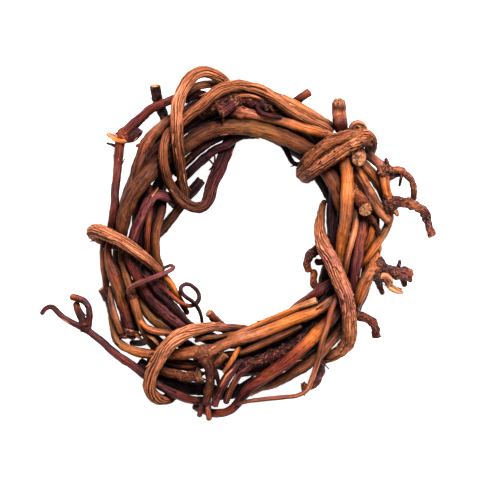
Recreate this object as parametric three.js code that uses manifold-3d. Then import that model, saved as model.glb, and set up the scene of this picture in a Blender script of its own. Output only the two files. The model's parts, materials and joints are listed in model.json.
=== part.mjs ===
// A small wreath of wound grapevine. It lies flat with its front facing up.
// Each cane is drawn from the front on squared paper, with a height for every point.
// Then settle() presses the canes apart until no two of them touch.

import * as THREE from 'three';
import { mergeVertices } from 'three/addons/utils/BufferGeometryUtils.js';
import Module from 'manifold-3d';

const wasm = await Module();
wasm.setup();

// Driving sizes, in mm.
const WREATH_WIDTH = 139;
const MIDDLE_HEIGHT = 11;
const BULGE = 6.5;
const LAYER = 4.2;
const CLEARANCE = 0.5;

// The squared paper: how many squares the wreath spans, and the paper point over the origin.
const SQUARES_ACROSS = 397;
const SQUARE = WREATH_WIDTH / SQUARES_ACROSS;
const PAPER_X = 238.27;
const PAPER_Y = 242.19;

// The ring of the bundle, in squares: its centre, half axes and half width.
const RING_X = 243;
const RING_Y = 236;
const RING_ACROSS = 111;
const RING_DOWN = 125;
const RING_HALF_WIDTH = 34;

// Settling: spacing of the points along a cane in mm, rounds, and how the canes give way.
const SPACING = 1.6;
const ROUNDS = 260;
const SIDEWAYS = 0.3;
const DRAWN_PULL = 0.04;
const SQUEEZE = 0.006;
const REACH = 2.4;
const LOOK_EVERY = 8;
const FLAT_DEPTH = 0.35;

// Mesh fineness: sides of a section and length of a step, in mm.
const SIDES_BY_WIDTH = [[2, 5], [3, 6], [4.4, 7], [Infinity, 8]];
const SHORT_STEP = 2.45;
const LONG_STEP = 6.1;
const FLUTED_STEP = 4.2;
const FLUTES = 6;
const FLUTE_DEPTH = 0.17;

const COLOURS = {
  fluted: [0x9c5a34, 0.75],
  golden: [0xa8622c, 0.6],
  olive: [0x7a5230, 0.65],
  red: [0x6e3022, 0.6],
  dark: [0x3a2020, 0.65],
};

// A stem has widths in mm, spread evenly along it, and a route of points: squares across,
// squares down, and height in canes above the rounded top of the bundle.
// A pressed stem grew into the first stem of its cane all along.
const stem = (widths, ...route) => ({ widths, route });
const pressed = (widths, ...route) => ({ widths, route, grownIn: true });
const cane = (name, bark, ...stems) => ({ name, bark, stems });

const FRONT_CANES = [
  cane('binder_top', 'fluted',
    stem([3.4, 3.8, 4.4, 4.6, 3.8, 3.2, 3.4, 3.9, 4.8, 4.8, 4.4, 4.2, 4.6, 4.4, 3.6, 3.2, 3.4],
      [328, 136, -1.3], [320, 130, -0.8], [310, 123.5, -0.2], [300, 117.5, 0], [290, 111.5, 0],
      [280, 104, 0], [270, 97, 0], [260, 91.5, 0], [250, 88.5, 0], [240, 87, 0], [230, 89.5, 0],
      [220, 94.5, 0], [210, 101.5, 0], [200, 108.5, 0], [190, 115, -0.1], [183, 121, -0.3],
      [175, 127, -0.1], [168, 134, 0.3], [164.5, 142, 0.6], [163.3, 150, 0.8], [163, 160, 1.1],
      [164.5, 170, 1], [167.5, 180, 0.8], [173.5, 190, 0.9], [181, 200, 1.1], [189, 205.5, 1],
      [197, 207.7, 0.8], [204, 206, 0.6], [208.5, 199, 0.5], [210.5, 190, 0.4], [214, 180, 0.3],
      [218.5, 170, 0.2], [222, 160, 0], [225.5, 150, -0.6], [229, 140, -1.2], [231, 130, -1.6],
      [233, 118, -1.6], [233.5, 106, -1.5], [230.5, 95, -1.1], [226, 85.5, -0.4], [220, 78, 0.4],
      [212.5, 73.5, 0.9], [205, 71.5, 1.2], [197, 73.5, 1.4], [190, 79, 1.4], [184, 87, 1.4],
      [180, 96, 1.4], [177.5, 105, 1.4], [176.5, 115, 1.5], [176.5, 125, 1.5], [177, 135, 1.4],
      [178, 145, 1.4], [179, 155, 1.3], [180, 165, 1], [181, 175, 0.6], [182.5, 185, 0.1],
      [184, 194, -0.5], [179.5, 205, -0.9], [173, 215, -1.2], [166.5, 223.5, -1.5], [160, 231, -1.8],
      [152, 238, -2.2])),
  cane('binder_left', 'fluted',
    stem([3.6, 4.2, 4.8, 5.0, 5.0, 4.6, 4.3, 4.1, 3.7, 3.4, 3.0, 2.4, 1.8],
      [132, 250, -3.2], [120, 245, -2.8], [108, 240, -2.2], [99, 236.5, -1.5], [94, 234, -0.6],
      [93, 231.5, 0.3], [97, 230.5, 1.1], [105, 232.8, 1.5], [113.5, 237, 1.5], [122, 241, 1.5],
      [130, 246, 1.5], [139, 252.5, 1.5], [147, 259.5, 1.4], [155, 266.5, 1.2], [162, 273, 1.1],
      [168, 279, 0.9], [173.5, 285, 0.8], [178, 292, 0.6], [182, 299.5, 0.2], [188, 312, -0.6])),
  cane('binder_bottom', 'fluted',
    stem([2.4, 2.6, 2.9, 3.2, 3.9, 4.8, 5.2, 5.2, 5.0, 4.7, 4.5, 4.2, 3.6, 3.0],
      [258, 332, -1.2], [247, 329.5, -0.7], [235, 328, -0.2], [222, 327.5, 0.2], [210, 327, 0.5],
      [200, 329, 0.8], [190, 331, 1.1], [182, 334, 1.3], [173.5, 340.5, 1.4], [164.5, 350, 1.4],
      [158.5, 360, 1.4], [153.3, 370, 1.3], [150, 380, 1.2], [149.5, 389, 0.9], [153, 395, 0.3],
      [160, 399.5, -0.5], [168.5, 399, -1.3], [178, 393, -2.2])),
  cane('binder_right', 'fluted',
    stem([2.0, 2.8, 4.0, 5.2, 5.6, 5.6, 5.6, 5.4, 5.4, 5.4, 5.4, 5.0, 4.2, 3.4],
      [327, 203, -0.7], [324.5, 210, 0], [322.5, 218, 0.5], [321, 228, 0.9],
      [322, 238, 1.1], [326, 249, 1.3], [332, 260, 1.5], [336, 270, 1.5], [340, 281, 1.5],
      [344, 293, 1.5], [347.3, 305, 1.5], [349.3, 318, 1.4], [349.8, 330, 1.2], [348, 340, 0.9],
      [344.5, 346.5, 0.4], [339, 351.5, -0.1], [332, 355.5, -0.8], [323.5, 359, -1.6])),
  cane('tie_vine', 'fluted',
    stem([3.8, 4.4, 4.9, 5.0, 5.0, 4.9, 4.6, 4.4, 4.4, 4.4, 4.2],
      [368, 151, -1.8], [367, 146, -0.6], [362, 144, 0.4], [355, 145.5, 1.1], [348, 149, 1.5],
      [339, 154, 1.7], [330, 159.5, 1.8], [321, 165.5, 1.6], [314, 170.5, 1.1], [311, 173, 0.2],
      [310, 174.5, -0.9], [312, 174.5, -2], [318, 170, -2.9], [326, 164, -3.4], [337, 157, -3.4],
      [350, 149, -3]),
    pressed([3.8, 4.2, 4.8, 5.0, 5.2, 5.0, 4.8, 4.6, 4.4, 4.4, 4.4, 4.2],
      [367.5, 156, -1.8], [368.5, 149, -0.8], [369, 140.5, 0.3], [364, 136, 1.1], [355, 136.5, 1.5],
      [345, 138, 1.8], [334, 141.5, 1.9], [324, 147, 1.9], [315.5, 154, 1.7], [308, 161, 1.3],
      [304, 167, 0.5], [303.5, 171, -0.6], [305.5, 172, -1.8], [310, 168, -2.8], [319, 160, -3.4],
      [331, 149, -3.4], [344, 140, -3])),
  cane('tie_hump', 'fluted',
    stem([3.0, 3.4, 3.4, 3.0],
      [343, 143, -1.2], [348, 133, -0.2], [352.5, 125.5, 0.3], [359, 126.5, 0.3], [363, 134, -0.2],
      [365, 143, -1.2])),
  cane('cane_olive_wide', 'olive',
    stem([4.2, 5.2, 5.6, 5.4, 5.4, 5.6, 5.3, 5.4, 4.9, 5.0, 4.8],
      [121, 243, -0.8], [122, 231, -0.3], [124.5, 215, 0.1], [128, 205, 0.3], [132.5, 195, 0.4],
      [140, 183, 0.3], [150, 172, 0.2], [160, 163, 0.1], [170, 156, 0.1], [182, 149, 0.1],
      [190, 142, 0.1], [200, 135.5, 0.1], [210, 131, 0], [220, 127.5, 0], [240, 125.3, 0],
      [260, 128, 0], [280, 134.5, 0], [300, 144.5, -0.1], [313, 153, -0.3], [326, 171, -0.3],
      [333, 182, -0.2], [338, 195, -0.6], [342, 208, -1.1])),
  cane('cane_left_outer_arc', 'golden',
    stem([3.4, 3.8, 4.2, 4.2, 4.0, 3.6, 3.0],
      [182, 114, -0.8], [172, 120, -0.3], [162, 128, 0], [151.5, 137, 0], [146.5, 145, 0],
      [142.5, 155, 0], [139, 165, 0], [136, 175, -0.3], [133, 186, -0.7], [129.5, 196, -0.9],
      [124.5, 206, -0.9], [121, 218, -1.1], [118, 232, -1.4]),
    stem([2.2, 1.0], [146, 144, 0], [141, 145, 0.2], [137, 146, 0.3])),
  cane('cane_top_inner', 'golden',
    stem([4.0, 3.4, 3.3, 3.3, 3.3, 3.2],
      [232, 111, -0.4], [240, 112, 0.2], [250, 114, 0.2], [260, 117, 0.1], [270, 120, 0.1],
      [280, 122, 0.1], [290, 124, 0.1], [300, 127, 0], [310, 130, -0.1], [320, 134, -0.5],
      [334, 141, -0.9])),
  cane('cane_top_right_outer', 'golden',
    stem([3.0, 3.5, 3.6, 3.5, 3.4],
      [282, 98, -1.2], [291, 103.5, -0.9], [300, 108, -0.8], [310, 114, -0.8], [320, 120.5, -0.9],
      [328, 126, -1.1], [333, 130, -1.3])),
  cane('cane_top_dark_torn', 'dark',
    stem([2.8, 3.6, 3.9, 3.9, 3.6, 3.2],
      [203, 114, -0.9], [212, 108, -0.4], [225, 102, -0.2], [238, 100, -0.2], [250, 101, -0.2],
      [262, 104, -0.2], [274, 108, -0.3], [286, 113, -0.9]),
    stem([3.0, 3.6, 3.8, 3.4], [235, 101, 0], [232, 106, 0.5], [227, 110, 0.7], [220, 113, 0.7]),
    stem([1.6, 1.5, 1.1],
      [257, 104, -0.1], [259, 111, 0.3], [266, 115, 0.5], [274, 117, 0.5], [281, 118, 0.4]),
    stem([3.2, 3.2, 2.8], [216, 105, -0.5], [206, 96, -0.9], [196, 94, -1.2], [185, 100, -1.6])),
  cane('cane_top_olive_strip', 'olive',
    stem([1.8, 2.4, 2.2, 1.8],
      [278, 126, -0.9], [290, 130, -0.5], [303, 137, -0.5], [316, 145, -0.9], [328, 156, -1.2])),
  cane('cane_dark_inner_long', 'dark',
    stem([2.8, 3.0, 3.0, 2.8, 2.6, 2.2, 1.8, 1.4],
      [176, 186, -1.1], [183, 178, -0.9], [195, 166, -0.5], [205, 157, -0.4], [215, 149, -0.4],
      [226, 143, -0.4], [240, 135, -0.5], [250, 134.3, -0.5], [262, 134, -0.3], [272, 135.8, 0],
      [283, 145, 0.2], [288, 153, 0.2], [292, 160.5, 0.1], [296, 164.5, 0], [301, 164.5, -0.6])),
  cane('cane_dark_inner_short', 'dark',
    stem([2.4, 2.8, 2.8, 2.4],
      [172, 172, -1.5], [181, 164, -1], [190, 156.5, -0.8], [199, 149.5, -0.7], [210, 143, -0.8],
      [226, 137, -1.2])),
  cane('cane_right_orange', 'golden',
    stem([4.2, 4.3, 4.4, 4.4, 4.3, 4.2, 4.0],
      [341, 148, -1.1], [343, 160, -0.5], [346, 175, 0.1], [346.5, 190, 0.3], [346, 205, 0.3],
      [345.5, 220, 0.2], [343.5, 235, 0], [341, 246, -0.3], [339, 258, -0.6], [340, 272, -1],
      [344, 288, -1.4])),
  cane('cane_right_striped', 'golden',
    stem([3.8, 4.4, 4.6, 4.4, 4.0, 3.0],
      [347, 157, -0.8], [352, 168, 0], [358, 178, 0.3], [365, 190, 0.5], [372, 200, 0.6],
      [379, 210, 0.7], [387, 219, 0.7])),
  cane('cane_right_second', 'golden',
    stem([3.4, 4.0, 4.0, 3.6, 2.8],
      [360, 155.5, -0.8], [365, 161, -0.3], [372.5, 171, 0], [379.5, 182, 0], [385, 194, -0.3],
      [388, 206, -0.9], [388, 222, -1.3])),
  cane('cane_right_outer', 'golden',
    stem([3.2, 3.4, 3.4, 3.0, 3.0, 2.8, 2.5, 2.4, 2.2],
      [367.5, 151, -0.8], [370, 155.5, -0.4], [375, 161, 0], [381.5, 167, 0.3], [383.5, 178, 0.2],
      [385.5, 190, 0.2], [389, 202, 0.4], [389, 212, 0.2], [388, 222, 0.1], [383.5, 232, 0],
      [377, 241, 0.1], [371, 249, 0.2], [366, 257, 0.1], [360, 264, -0.5]),
    stem([2.6, 2.3, 2.4, 2.3, 2.2, 2.0],
      [384, 169, 0.3], [392, 169.8, 0.4], [400, 170.3, 0.4], [407, 175, 0.4], [412, 182.5, 0.3],
      [414, 190, 0.1], [413.5, 198.5, -0.4]),
    stem([4.2, 3.6, 3.4, 3.3, 3.1, 2.8, 2.7],
      [389, 204, 0.4], [398, 202, 0.8], [406, 202.7, 1], [414, 205.3, 0.9], [421, 209, 0.7],
      [425.8, 214.5, 0.5], [427.8, 222, 0.4], [430, 230, 0.4], [433, 236, 0.4]),
    stem([1.2, 1.1, 0.8], [401, 171, 0.4], [400.5, 178, 0.2], [399, 185.5, 0]),
    stem([2.6, 2.0, 1.6], [384, 177.5, 0.1], [391, 176.5, -0.1], [399, 174, -0.2]),
    stem([2.4, 1.9, 1.3], [385, 169, 0.3], [386, 164, 0.4], [385.5, 159.5, 0.5]),
    stem([2.6, 2.0, 1.2], [391, 204, 0.4], [394.5, 210, 0.5], [397, 215, 0.6])),
  cane('cane_right_yellow', 'olive',
    stem([2.4, 2.6, 2.5, 2.2],
      [374, 212, -0.6], [373, 224, 0], [370, 238, 0.1], [366, 248, -0.1], [360, 258, -0.7])),
  cane('cane_right_thin', 'golden',
    stem([1.6, 1.8, 1.8, 1.5],
      [378, 218, -0.5], [377.5, 228, -0.1], [375, 238, -0.1], [370, 248, -0.5], [364, 262, -1])),
  cane('cane_right_pale', 'golden',
    stem([1.9, 2.1, 2.1, 1.9],
      [357, 208, -0.6], [356, 222, 0], [353.5, 235, 0.1], [350.5, 248, 0.1], [347.5, 260, -0.2],
      [345.5, 272, -0.7])),
  cane('cane_right_red', 'red',
    stem([3.4, 3.8, 4.0, 4.0, 3.6, 3.2],
      [361, 203, -1], [362, 217, -0.4], [362, 230, -0.3], [360, 245, -0.3], [358, 260, -0.4],
      [355, 275, -0.7], [352, 292, -1.1])),
  cane('cane_right_lower', 'golden',
    stem([3.0, 3.6, 4.0, 4.2, 4.0, 3.6, 3.2],
      [374, 234, -0.9], [373.5, 246, -0.4], [372.5, 257, 0.1], [371, 267, 0.3], [365.5, 277, 0.2],
      [359.5, 290, -0.1], [355.5, 303, -0.5], [353, 316, -1]),
    stem([5.4, 5.0, 4.6, 4.3, 4.2],
      [374, 266, 0.3], [383, 269.5, 0.3], [392, 272, 0.2], [400, 273.5, 0.1], [412, 274.5, 0]),
    stem([3.4, 2.8, 2.2, 1.6], [372, 272, 0], [377, 279, -0.2], [379.5, 286, -0.4], [382, 292.5, -0.6]),
    stem([2.8, 2.8, 2.2, 2.0, 1.8],
      [372, 273, 0.6], [380, 277.5, 0.8], [386, 280.5, 0.9], [390, 285.5, 0.8], [394.5, 288.8, 0.6],
      [399.5, 290.5, 0.5]),
    stem([1.6, 1.3], [395.5, 270, 0.4], [397.5, 264.5, 0.7], [398.5, 261, 0.8]),
    stem([2.4, 2.2, 1.6], [401, 275, 0], [402.5, 280.5, -0.3], [403.5, 284.5, -0.3])),
  cane('cane_right_dark_inner', 'dark',
    stem([3.2, 3.6, 4.0, 4.0, 4.0, 3.8, 3.4],
      [316, 160, -1.8], [325, 172, -1.3], [331.5, 183, -1], [334.5, 197, -0.9], [332.3, 210, -0.8],
      [332.7, 225, -0.7], [334.5, 240, -0.7], [334, 252, -0.9], [331, 268, -1.4], [328, 284, -1.8]),
    stem([3.0, 3.2, 3.4, 3.2, 2.8, 2.3],
      [332, 246, -0.6], [323, 248, -0.3], [316.5, 251, -0.1], [311.5, 254.5, 0], [308.5, 259, 0.1],
      [307.5, 264, 0.1], [308.5, 269.5, 0.2]),
    stem([2.6, 2.5, 2.5, 2.2],
      [329, 284, -1.6], [322, 288, -0.8], [316, 285, -0.4], [314.7, 279, -0.2], [315.3, 272.5, 0]),
    stem([2.4, 2.3, 2.0], [331, 261, -1.2], [325, 262.5, -0.8], [319.5, 262.5, -0.6])),
  cane('cane_bottom_long', 'golden',
    stem([2.4, 2.1, 2.5, 2.8, 3.0, 3.6, 4.2, 3.9, 4.0, 4.1, 3.6, 3.0],
      [108, 232, -0.9], [104, 244, -0.3], [103.4, 262, 0.2], [106, 280, 0.3], [108.5, 298, 0.3],
      [112, 312, 0.3], [115, 328, 0.3], [118.5, 339, 0.3], [127, 346.5, 0.3], [138, 351.5, 0.3],
      [150, 353.5, 0.2], [165, 354.5, 0.1], [180, 354, 0.2], [195, 352, 0.4], [206, 352, 0.6],
      [225, 345, 0.5], [240, 340, 0.5], [260, 334, 0.5], [280, 327, 0.4], [300, 317.5, 0.3],
      [312, 312.5, 0.1], [325, 304.5, -0.3], [338, 295, -0.9]),
    stem([5.4, 4.4, 3.6, 3.2, 3.0, 2.6],
      [203, 352, 0.4], [209, 364, 0.4], [210.5, 375, 0.3], [210, 385, 0.2], [208, 395, 0],
      [205, 405, -0.3]),
    stem([1.8, 1.6, 1.4], [211, 364, 0.4], [215.5, 372, 0.4], [218, 384, 0.2]),
    stem([2.4, 2.9, 3.3], [212, 367, 0.2], [219, 361, 0.2], [225.5, 354.5, 0.4]),
    stem([2.2, 1.8], [205, 400, -0.1], [201.5, 408, -0.1], [199.5, 415, -0.2]),
    stem([2.2, 2.0], [207, 400, -0.1], [208.5, 410, 0], [209.5, 418.5, 0]),
    stem([2.6, 2.5], [108, 298, 0.3], [104.5, 293, 0.4], [101.5, 289, 0.5])),
  cane('cane_bottom_inner', 'golden',
    stem([1.8, 2.3, 2.4, 2.5, 2.4],
      [229, 337, 0], [240, 333, 0.5], [252, 328, 0.6], [266, 321.8, 0.5], [280, 316.7, 0.4],
      [300, 308.7, 0.4], [318, 303.5, 0.3])),
  cane('cane_bottom_dark_red', 'red',
    stem([2.8, 3.4, 3.5, 3.5, 3.2],
      [278, 324, -1], [289, 315, -0.5], [299, 306.5, -0.2], [308, 300, 0], [317, 293, 0],
      [326, 287, -0.5], [336, 281, -1])),
  cane('cane_bottom_thin', 'golden',
    stem([1.2, 1.5, 1.4, 1.2],
      [196, 341, -0.3], [206, 338, 0], [216, 337, 0.1], [230, 334.5, 0.1], [243, 332, -0.2],
      [256, 331, -0.9])),
  cane('cane_bottom_brown', 'olive',
    stem([1.8, 2.2, 2.2, 1.8],
      [225, 352.5, -0.5], [241, 350.5, -0.2], [265, 342.5, -0.2], [283, 334.5, -0.3],
      [299, 326, -0.8])),
  cane('cane_bottom_outer', 'red',
    stem([3.6, 4.0, 4.2, 4.4, 4.4, 4.2, 3.8, 3.1, 2.8, 2.9, 2.7],
      [338, 306, -1.1], [331, 318, -0.5], [320, 330, 0], [310, 340.5, 0.2], [300, 349.5, 0.2],
      [290, 358, 0.2], [280, 366, 0.1], [270, 373, 0], [260, 380, 0], [250, 387, 0],
      [243, 395, 0], [237, 403, 0], [230, 409.3, 0], [221.5, 411.3, 0], [211.5, 409.8, -0.2],
      [204, 405, -0.5], [196, 400, -1])),
  cane('cane_bottom_outermost', 'golden',
    stem([2.8, 3.4, 3.7, 3.6, 2.8],
      [344, 314, -1.2], [341, 327, -0.8], [332, 341, -0.6], [319, 354.5, -0.4], [305, 366, -0.3],
      [290, 374.5, -0.3], [275, 382, -0.4], [260, 386, -0.8], [248, 392.5, -1.4]),
    stem([2.4, 2.6, 2.5, 2.3, 2.0],
      [318, 356, -0.4], [321, 364, -0.3], [321, 372, -0.3], [318, 380, -0.3], [312, 386.5, -0.3],
      [304, 388, -0.2])),
  cane('cane_bottom_tan', 'olive',
    stem([2.8, 3.0, 3.2, 3.6],
      [150, 366, -0.7], [162, 371, -0.3], [175, 374, -0.1], [188, 376.5, 0], [200, 376, 0])),
  cane('cane_bottom_dark', 'dark',
    stem([3.4, 4.0, 4.3, 4.2, 4.0, 3.6, 3.2],
      [223, 362, -0.9], [234, 366, -0.5], [245, 364, -0.3], [265, 359, -0.3], [290, 347, -0.3],
      [308, 334, -0.5], [320, 322, -0.7], [330, 308, -1.3]),
    stem([2.6, 3.0, 3.2, 3.2, 2.6],
      [239, 363, -0.2], [232, 370, 0.3], [226.5, 378, 0.4], [221, 389, 0.4], [216, 399, 0.3], [214, 406, 0.1]),
    stem([1.8, 2.2, 2.3, 2.3, 2.2, 2.0],
      [253, 364, -0.1], [246, 368.5, 0.2], [238, 373, 0.4], [233, 380.5, 0.5], [229.5, 389, 0.4],
      [225.5, 401, 0.2])),
  cane('cane_bottom_deep', 'dark',
    stem([3.6, 4.2, 4.2, 4.4, 4.0],
      [238, 359, -1.3], [252, 350, -1.1], [270, 344, -0.9], [290, 334, -0.8], [305, 325, -0.8],
      [320, 313, -0.9], [334, 298, -1.4])),
  cane('cane_bottom_shadow', 'dark',
    stem([3.6, 4.2, 4.6, 4.6, 4.2, 3.6],
      [140, 361, -1.3], [154, 372, -1.1], [170, 381.5, -1], [188, 389, -1], [205, 390.5, -1],
      [222, 395, -0.9], [240, 391, -0.9], [256, 380, -1.3])),
  cane('cane_bottom_left_dark', 'dark',
    stem([3.0, 3.8, 3.8, 3.0],
      [148, 360, -1.3], [164, 363, -1.1], [180, 365, -1], [196, 365, -1.1], [210, 361.5, -1.4])),
  cane('cane_left_red_wide', 'red',
    stem([2.2, 2.4, 3.2, 4.2, 4.4, 4.4, 4.4, 5.4, 6.0],
      [110, 236, -0.9], [107.5, 248, -0.2], [109, 262, 0.1], [114.5, 276, 0.2], [118, 290, 0.2],
      [122, 305, 0.2], [126, 318, 0.3], [127, 328, 0.5], [127.5, 337, 0.4])),
  cane('cane_left_thin_orange', 'golden',
    stem([1.8, 2.2, 2.2, 2.0],
      [112, 288, 0.3], [112, 300, 0.9], [114.5, 312, 1], [118, 323, 0.9], [121, 332, 0.6])),
  cane('cane_left_pink', 'dark',
    stem([3.2, 3.5, 3.5, 3.6, 3.6, 3.5, 3.4, 3.2],
      [172, 204, -1.2], [165, 197, -0.4], [155, 195, 0.2], [147.5, 203, 0.2], [142, 215, 0.2],
      [137, 225, 0.1], [133, 236, 0], [129.5, 250, 0], [130, 262, 0], [134, 272, 0],
      [139, 282, 0], [150, 300, 0], [160, 308, 0], [170, 317, 0], [179, 324, -0.2],
      [187, 330, -0.8]),
    stem([3.2, 3.5, 3.6, 3.6, 3.4],
      [172, 204, -1.2], [180, 201, -1.3], [188, 194, -1.1], [195, 187, -1], [200.5, 180, -1])),
  cane('cane_left_olive', 'olive',
    stem([3.0, 3.4, 3.4, 3.2],
      [130, 284, -0.8], [138, 295, -0.3], [143.5, 307, 0], [151.5, 318.5, 0], [163, 326, -0.1],
      [174, 334, -0.5], [184, 341, -1])),
  cane('cane_left_dark', 'dark',
    stem([2.8, 3.1, 3.2, 3.2, 3.0, 2.6],
      [144, 266, -0.9], [149, 278, -0.4], [156, 289, -0.2], [165, 298, -0.2], [175, 310, -0.3],
      [183, 320, -0.5], [190, 330, -1]),
    stem([1.7, 1.5, 1.5, 1.4, 1.4, 1.4, 1.3, 1.1],
      [153, 283, -0.1], [161, 287, 0.1], [170, 295, 0.3], [180, 303, 0.4], [188, 306, 0.5],
      [194, 305, 0.5], [198.5, 299.5, 0.3], [197.5, 292.5, 0], [192, 287, -0.2], [186, 284.5, -0.2],
      [180.5, 287, 0], [179, 292, 0.8], [184, 297, 1.2], [192, 302, 1.2], [198, 309, 0.9],
      [201, 317, 0.5], [202, 326, -0.1])),
  cane('cane_left_narrow', 'olive',
    stem([2.2, 2.5, 2.8, 3.0, 3.0, 2.8, 2.6, 2.4],
      [120, 240, -0.9], [121.5, 256, -0.4], [124, 268, -0.2], [128, 283, -0.1], [133, 297, 0],
      [137.5, 310, 0.1], [142.5, 327, 0.1], [148.5, 340, -0.1], [157, 351, -0.6]),
    stem([1.8, 1.8, 1.8, 1.7, 1.6, 1.3, 0.9],
      [133, 297, 0.2], [129, 292, 1], [132, 287, 1.8], [139, 283.5, 2.1], [150, 279, 2.2],
      [161, 274.5, 2.1], [170, 270.5, 2], [174, 267, 1.9], [171, 265.5, 1.8], [164, 268, 1.8]),
    stem([1.8, 2.4, 2.3, 1.5],
      [141, 321, 0.2], [148, 328, 0.4], [158, 331.5, 0.5], [168, 332.5, 0.5], [176, 334, 0.3]),
    stem([2.4, 2.4, 1.9], [149, 339, -0.2], [141, 342.5, -0.2], [131, 342, -0.2])),
  cane('cane_left_thin_red', 'red',
    stem([1.8, 2.0, 2.0, 1.8],
      [150, 187, -1.4], [150, 206, -1], [148, 222, -0.4], [147, 236, -0.4], [147, 250, -0.8])),
  cane('cane_left_inner', 'olive',
    stem([2.8, 3.2, 3.2, 3.0],
      [163, 200, -1.2], [161, 213, -0.5], [156, 230, -0.4], [155, 244, -0.5], [156, 258, -0.9],
      [161, 270, -1.4])),
  cane('shoot_top_red', 'red',
    stem([2.4, 2.6, 2.8, 2.8, 3.0, 3.2, 4.0, 3.4, 2.8, 2.8, 3.0, 2.8],
      [236, 90, -0.9], [226, 86.5, -0.5], [213, 84.8, -0.2], [200, 86.5, -0.1], [186, 93, -0.1],
      [172, 99.5, 0], [160, 104, 0.1], [150, 109, 0.1], [141, 117.5, 0.1], [131.5, 126.5, 0.1],
      [122.5, 135.5, 0.1], [119, 150, 0], [118, 162, 0], [117, 175, 0], [115.5, 190, 0],
      [115, 205, 0], [113.5, 218, -0.2], [111.5, 230, -0.6]),
    stem([2.6, 3.0, 3.2, 2.6], [122, 137, 0.2], [129, 138.5, 0.5], [135.5, 135, 0.6], [140, 130, 0.5]),
    stem([2.4, 1.4], [121, 137, 0.1], [114, 137, 0.2], [108, 134, 0.2]),
    stem([1.4, 0.7], [119, 147, 0], [113, 145, 0], [107, 143, 0])),
  cane('shoot_left_forked', 'red',
    stem([1.6, 1.9, 2.1, 2.4, 2.6, 2.8, 2.8, 3.0, 3.0, 2.8, 2.6],
      [42, 313, 0.1], [46, 308, 0.1], [52, 307, 0.1], [57, 311.5, 0.1], [63, 317, 0.1],
      [73, 323, 0.1], [84, 328, 0], [92, 334, 0], [101, 341, 0], [110, 349, 0],
      [120, 357, 0], [132, 365, 0], [146, 376, -0.1], [160, 386, -0.2], [179, 396, -0.2],
      [194, 402, -0.5], [206, 403, -1.1]),
    stem([2.4, 2.4, 2.2, 2.2, 2.2],
      [86, 329, 0], [89, 320, 0.2], [89, 311, 0.3], [86, 303, 0.3], [80, 299, 0.3],
      [72.5, 297.5, 0.3]),
    stem([2.6, 2.8, 2.7, 2.2], [84, 326, 0.1], [82, 319, -0.1], [78.5, 312, -0.2], [76, 304.5, -0.3])),
  cane('shoot_bottom_string', 'golden',
    stem([1.6, 1.8, 1.9, 1.9, 1.8, 1.7, 1.5, 1.5, 1.4, 1.3],
      [338, 288, -0.5], [336, 298, 0.2], [331, 310, 0.9], [327, 325, 1.1], [322.5, 338, 1.2],
      [320, 350, 1.2], [317, 363, 1.1], [311.5, 380, 0.9], [307, 390, 0.7], [298, 395.5, 0.6],
      [280, 397.8, 0.6], [262, 399.5, 0.8], [247, 401.5, 0.9], [238, 404, 0.8])),
  cane('twig_bottom_thin', 'golden',
    stem([1.3, 1.8, 1.9, 1.5, 1.3],
      [243, 339, -0.4], [240, 347, 0], [236, 355, 0.5], [231.5, 363, 0.6], [226, 372, 0.3])),
  cane('stub_top_left', 'dark',
    stem([3.7, 3.6, 3.5, 3.3],
      [155.5, 86, 0.4], [156.5, 96, 0.1], [160, 106, -0.6], [164, 116, -1.1], [169, 127, -1.5])),
  cane('stub_top_right', 'olive',
    stem([3.0, 2.9, 2.8],
      [309, 93, 0.4], [303, 97, 0.1], [296, 102.5, -0.7], [287, 109, -1.3])),
  cane('peg_top_right', 'olive',
    stem([4.9, 5.1, 4.6],
      [338.5, 106, 0.3], [338.5, 112, 0.1], [339.5, 121, -0.3], [341, 131, -1])),
  cane('peg_cut_face', 'golden',
    stem([3.6, 4.0, 4.5, 4.6],
      [364, 142, -1], [363, 146, -0.4], [361, 151, 0.3], [359, 157, 1.1], [358, 159, 2.2])),
  cane('cane_knotted_short', 'olive',
    stem([3.0, 3.2, 3.6, 4.6, 4.8],
      [346, 174, -0.6], [352, 184, 0.2], [359, 196, 0.6], [364, 205, 1], [366, 209, 1.8]),
    stem([1.8, 1.6, 1.2], [365, 207, 1], [370, 217, 0.9], [375, 225, 0.7], [379, 233, 0.5])),
  cane('stub_bottom_inner', 'golden',
    stem([2.8, 3.3, 3.3, 3.0],
      [209, 313, 0.7], [216, 321, 0.1], [224, 329, -0.8], [233, 337, -1.5], [243, 344, -2])),
  cane('tendril_right_lower', 'red',
    stem([3.0, 3.2, 3.2, 3.1, 3.0, 2.8],
      [345, 315, -0.9], [356, 315, -0.4], [364, 317, 0], [370.5, 320.5, 0.1], [375, 327, 0],
      [376.5, 337, -0.2])),
];

// The canes inside and behind the bundle are spirals round the ring: width in mm, place across
// the bundle (-1 at the hole, 1 at the outer edge), height in mm, start and turn in degrees, and
// how far they wander.
const hidden = (name, bark, width, across, height, start, turn, wander) => (
  { name, bark, width, across, height, start, turn, wander });

const HIDDEN_CANES = [
  hidden('cane_back_middle', 'olive', 4.6, -0.06, 1.95, 20, 338, 0.14),
  hidden('cane_back_inner', 'golden', 4.2, -0.52, 4, 140, 335, 0.1),
  hidden('cane_back_outer', 'red', 4.2, 0.42, 4, 267, 336, 0.14),
  hidden('cane_core_inner', 'dark', 4, -0.42, 9, 60, 336, 0.08),
  hidden('cane_core_outer', 'olive', 4.2, 0.16, 9, 200, 335, 0.1),
];
const SPIRAL_STEP = 12;
const TABLE_LAYER = 3;

// Where the tie passes under the hidden canes, it lifts them.
const TIE_ANGLE = 42;
const TIE_SPREAD = 15;
const TIE_LIFT = 5;

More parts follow.
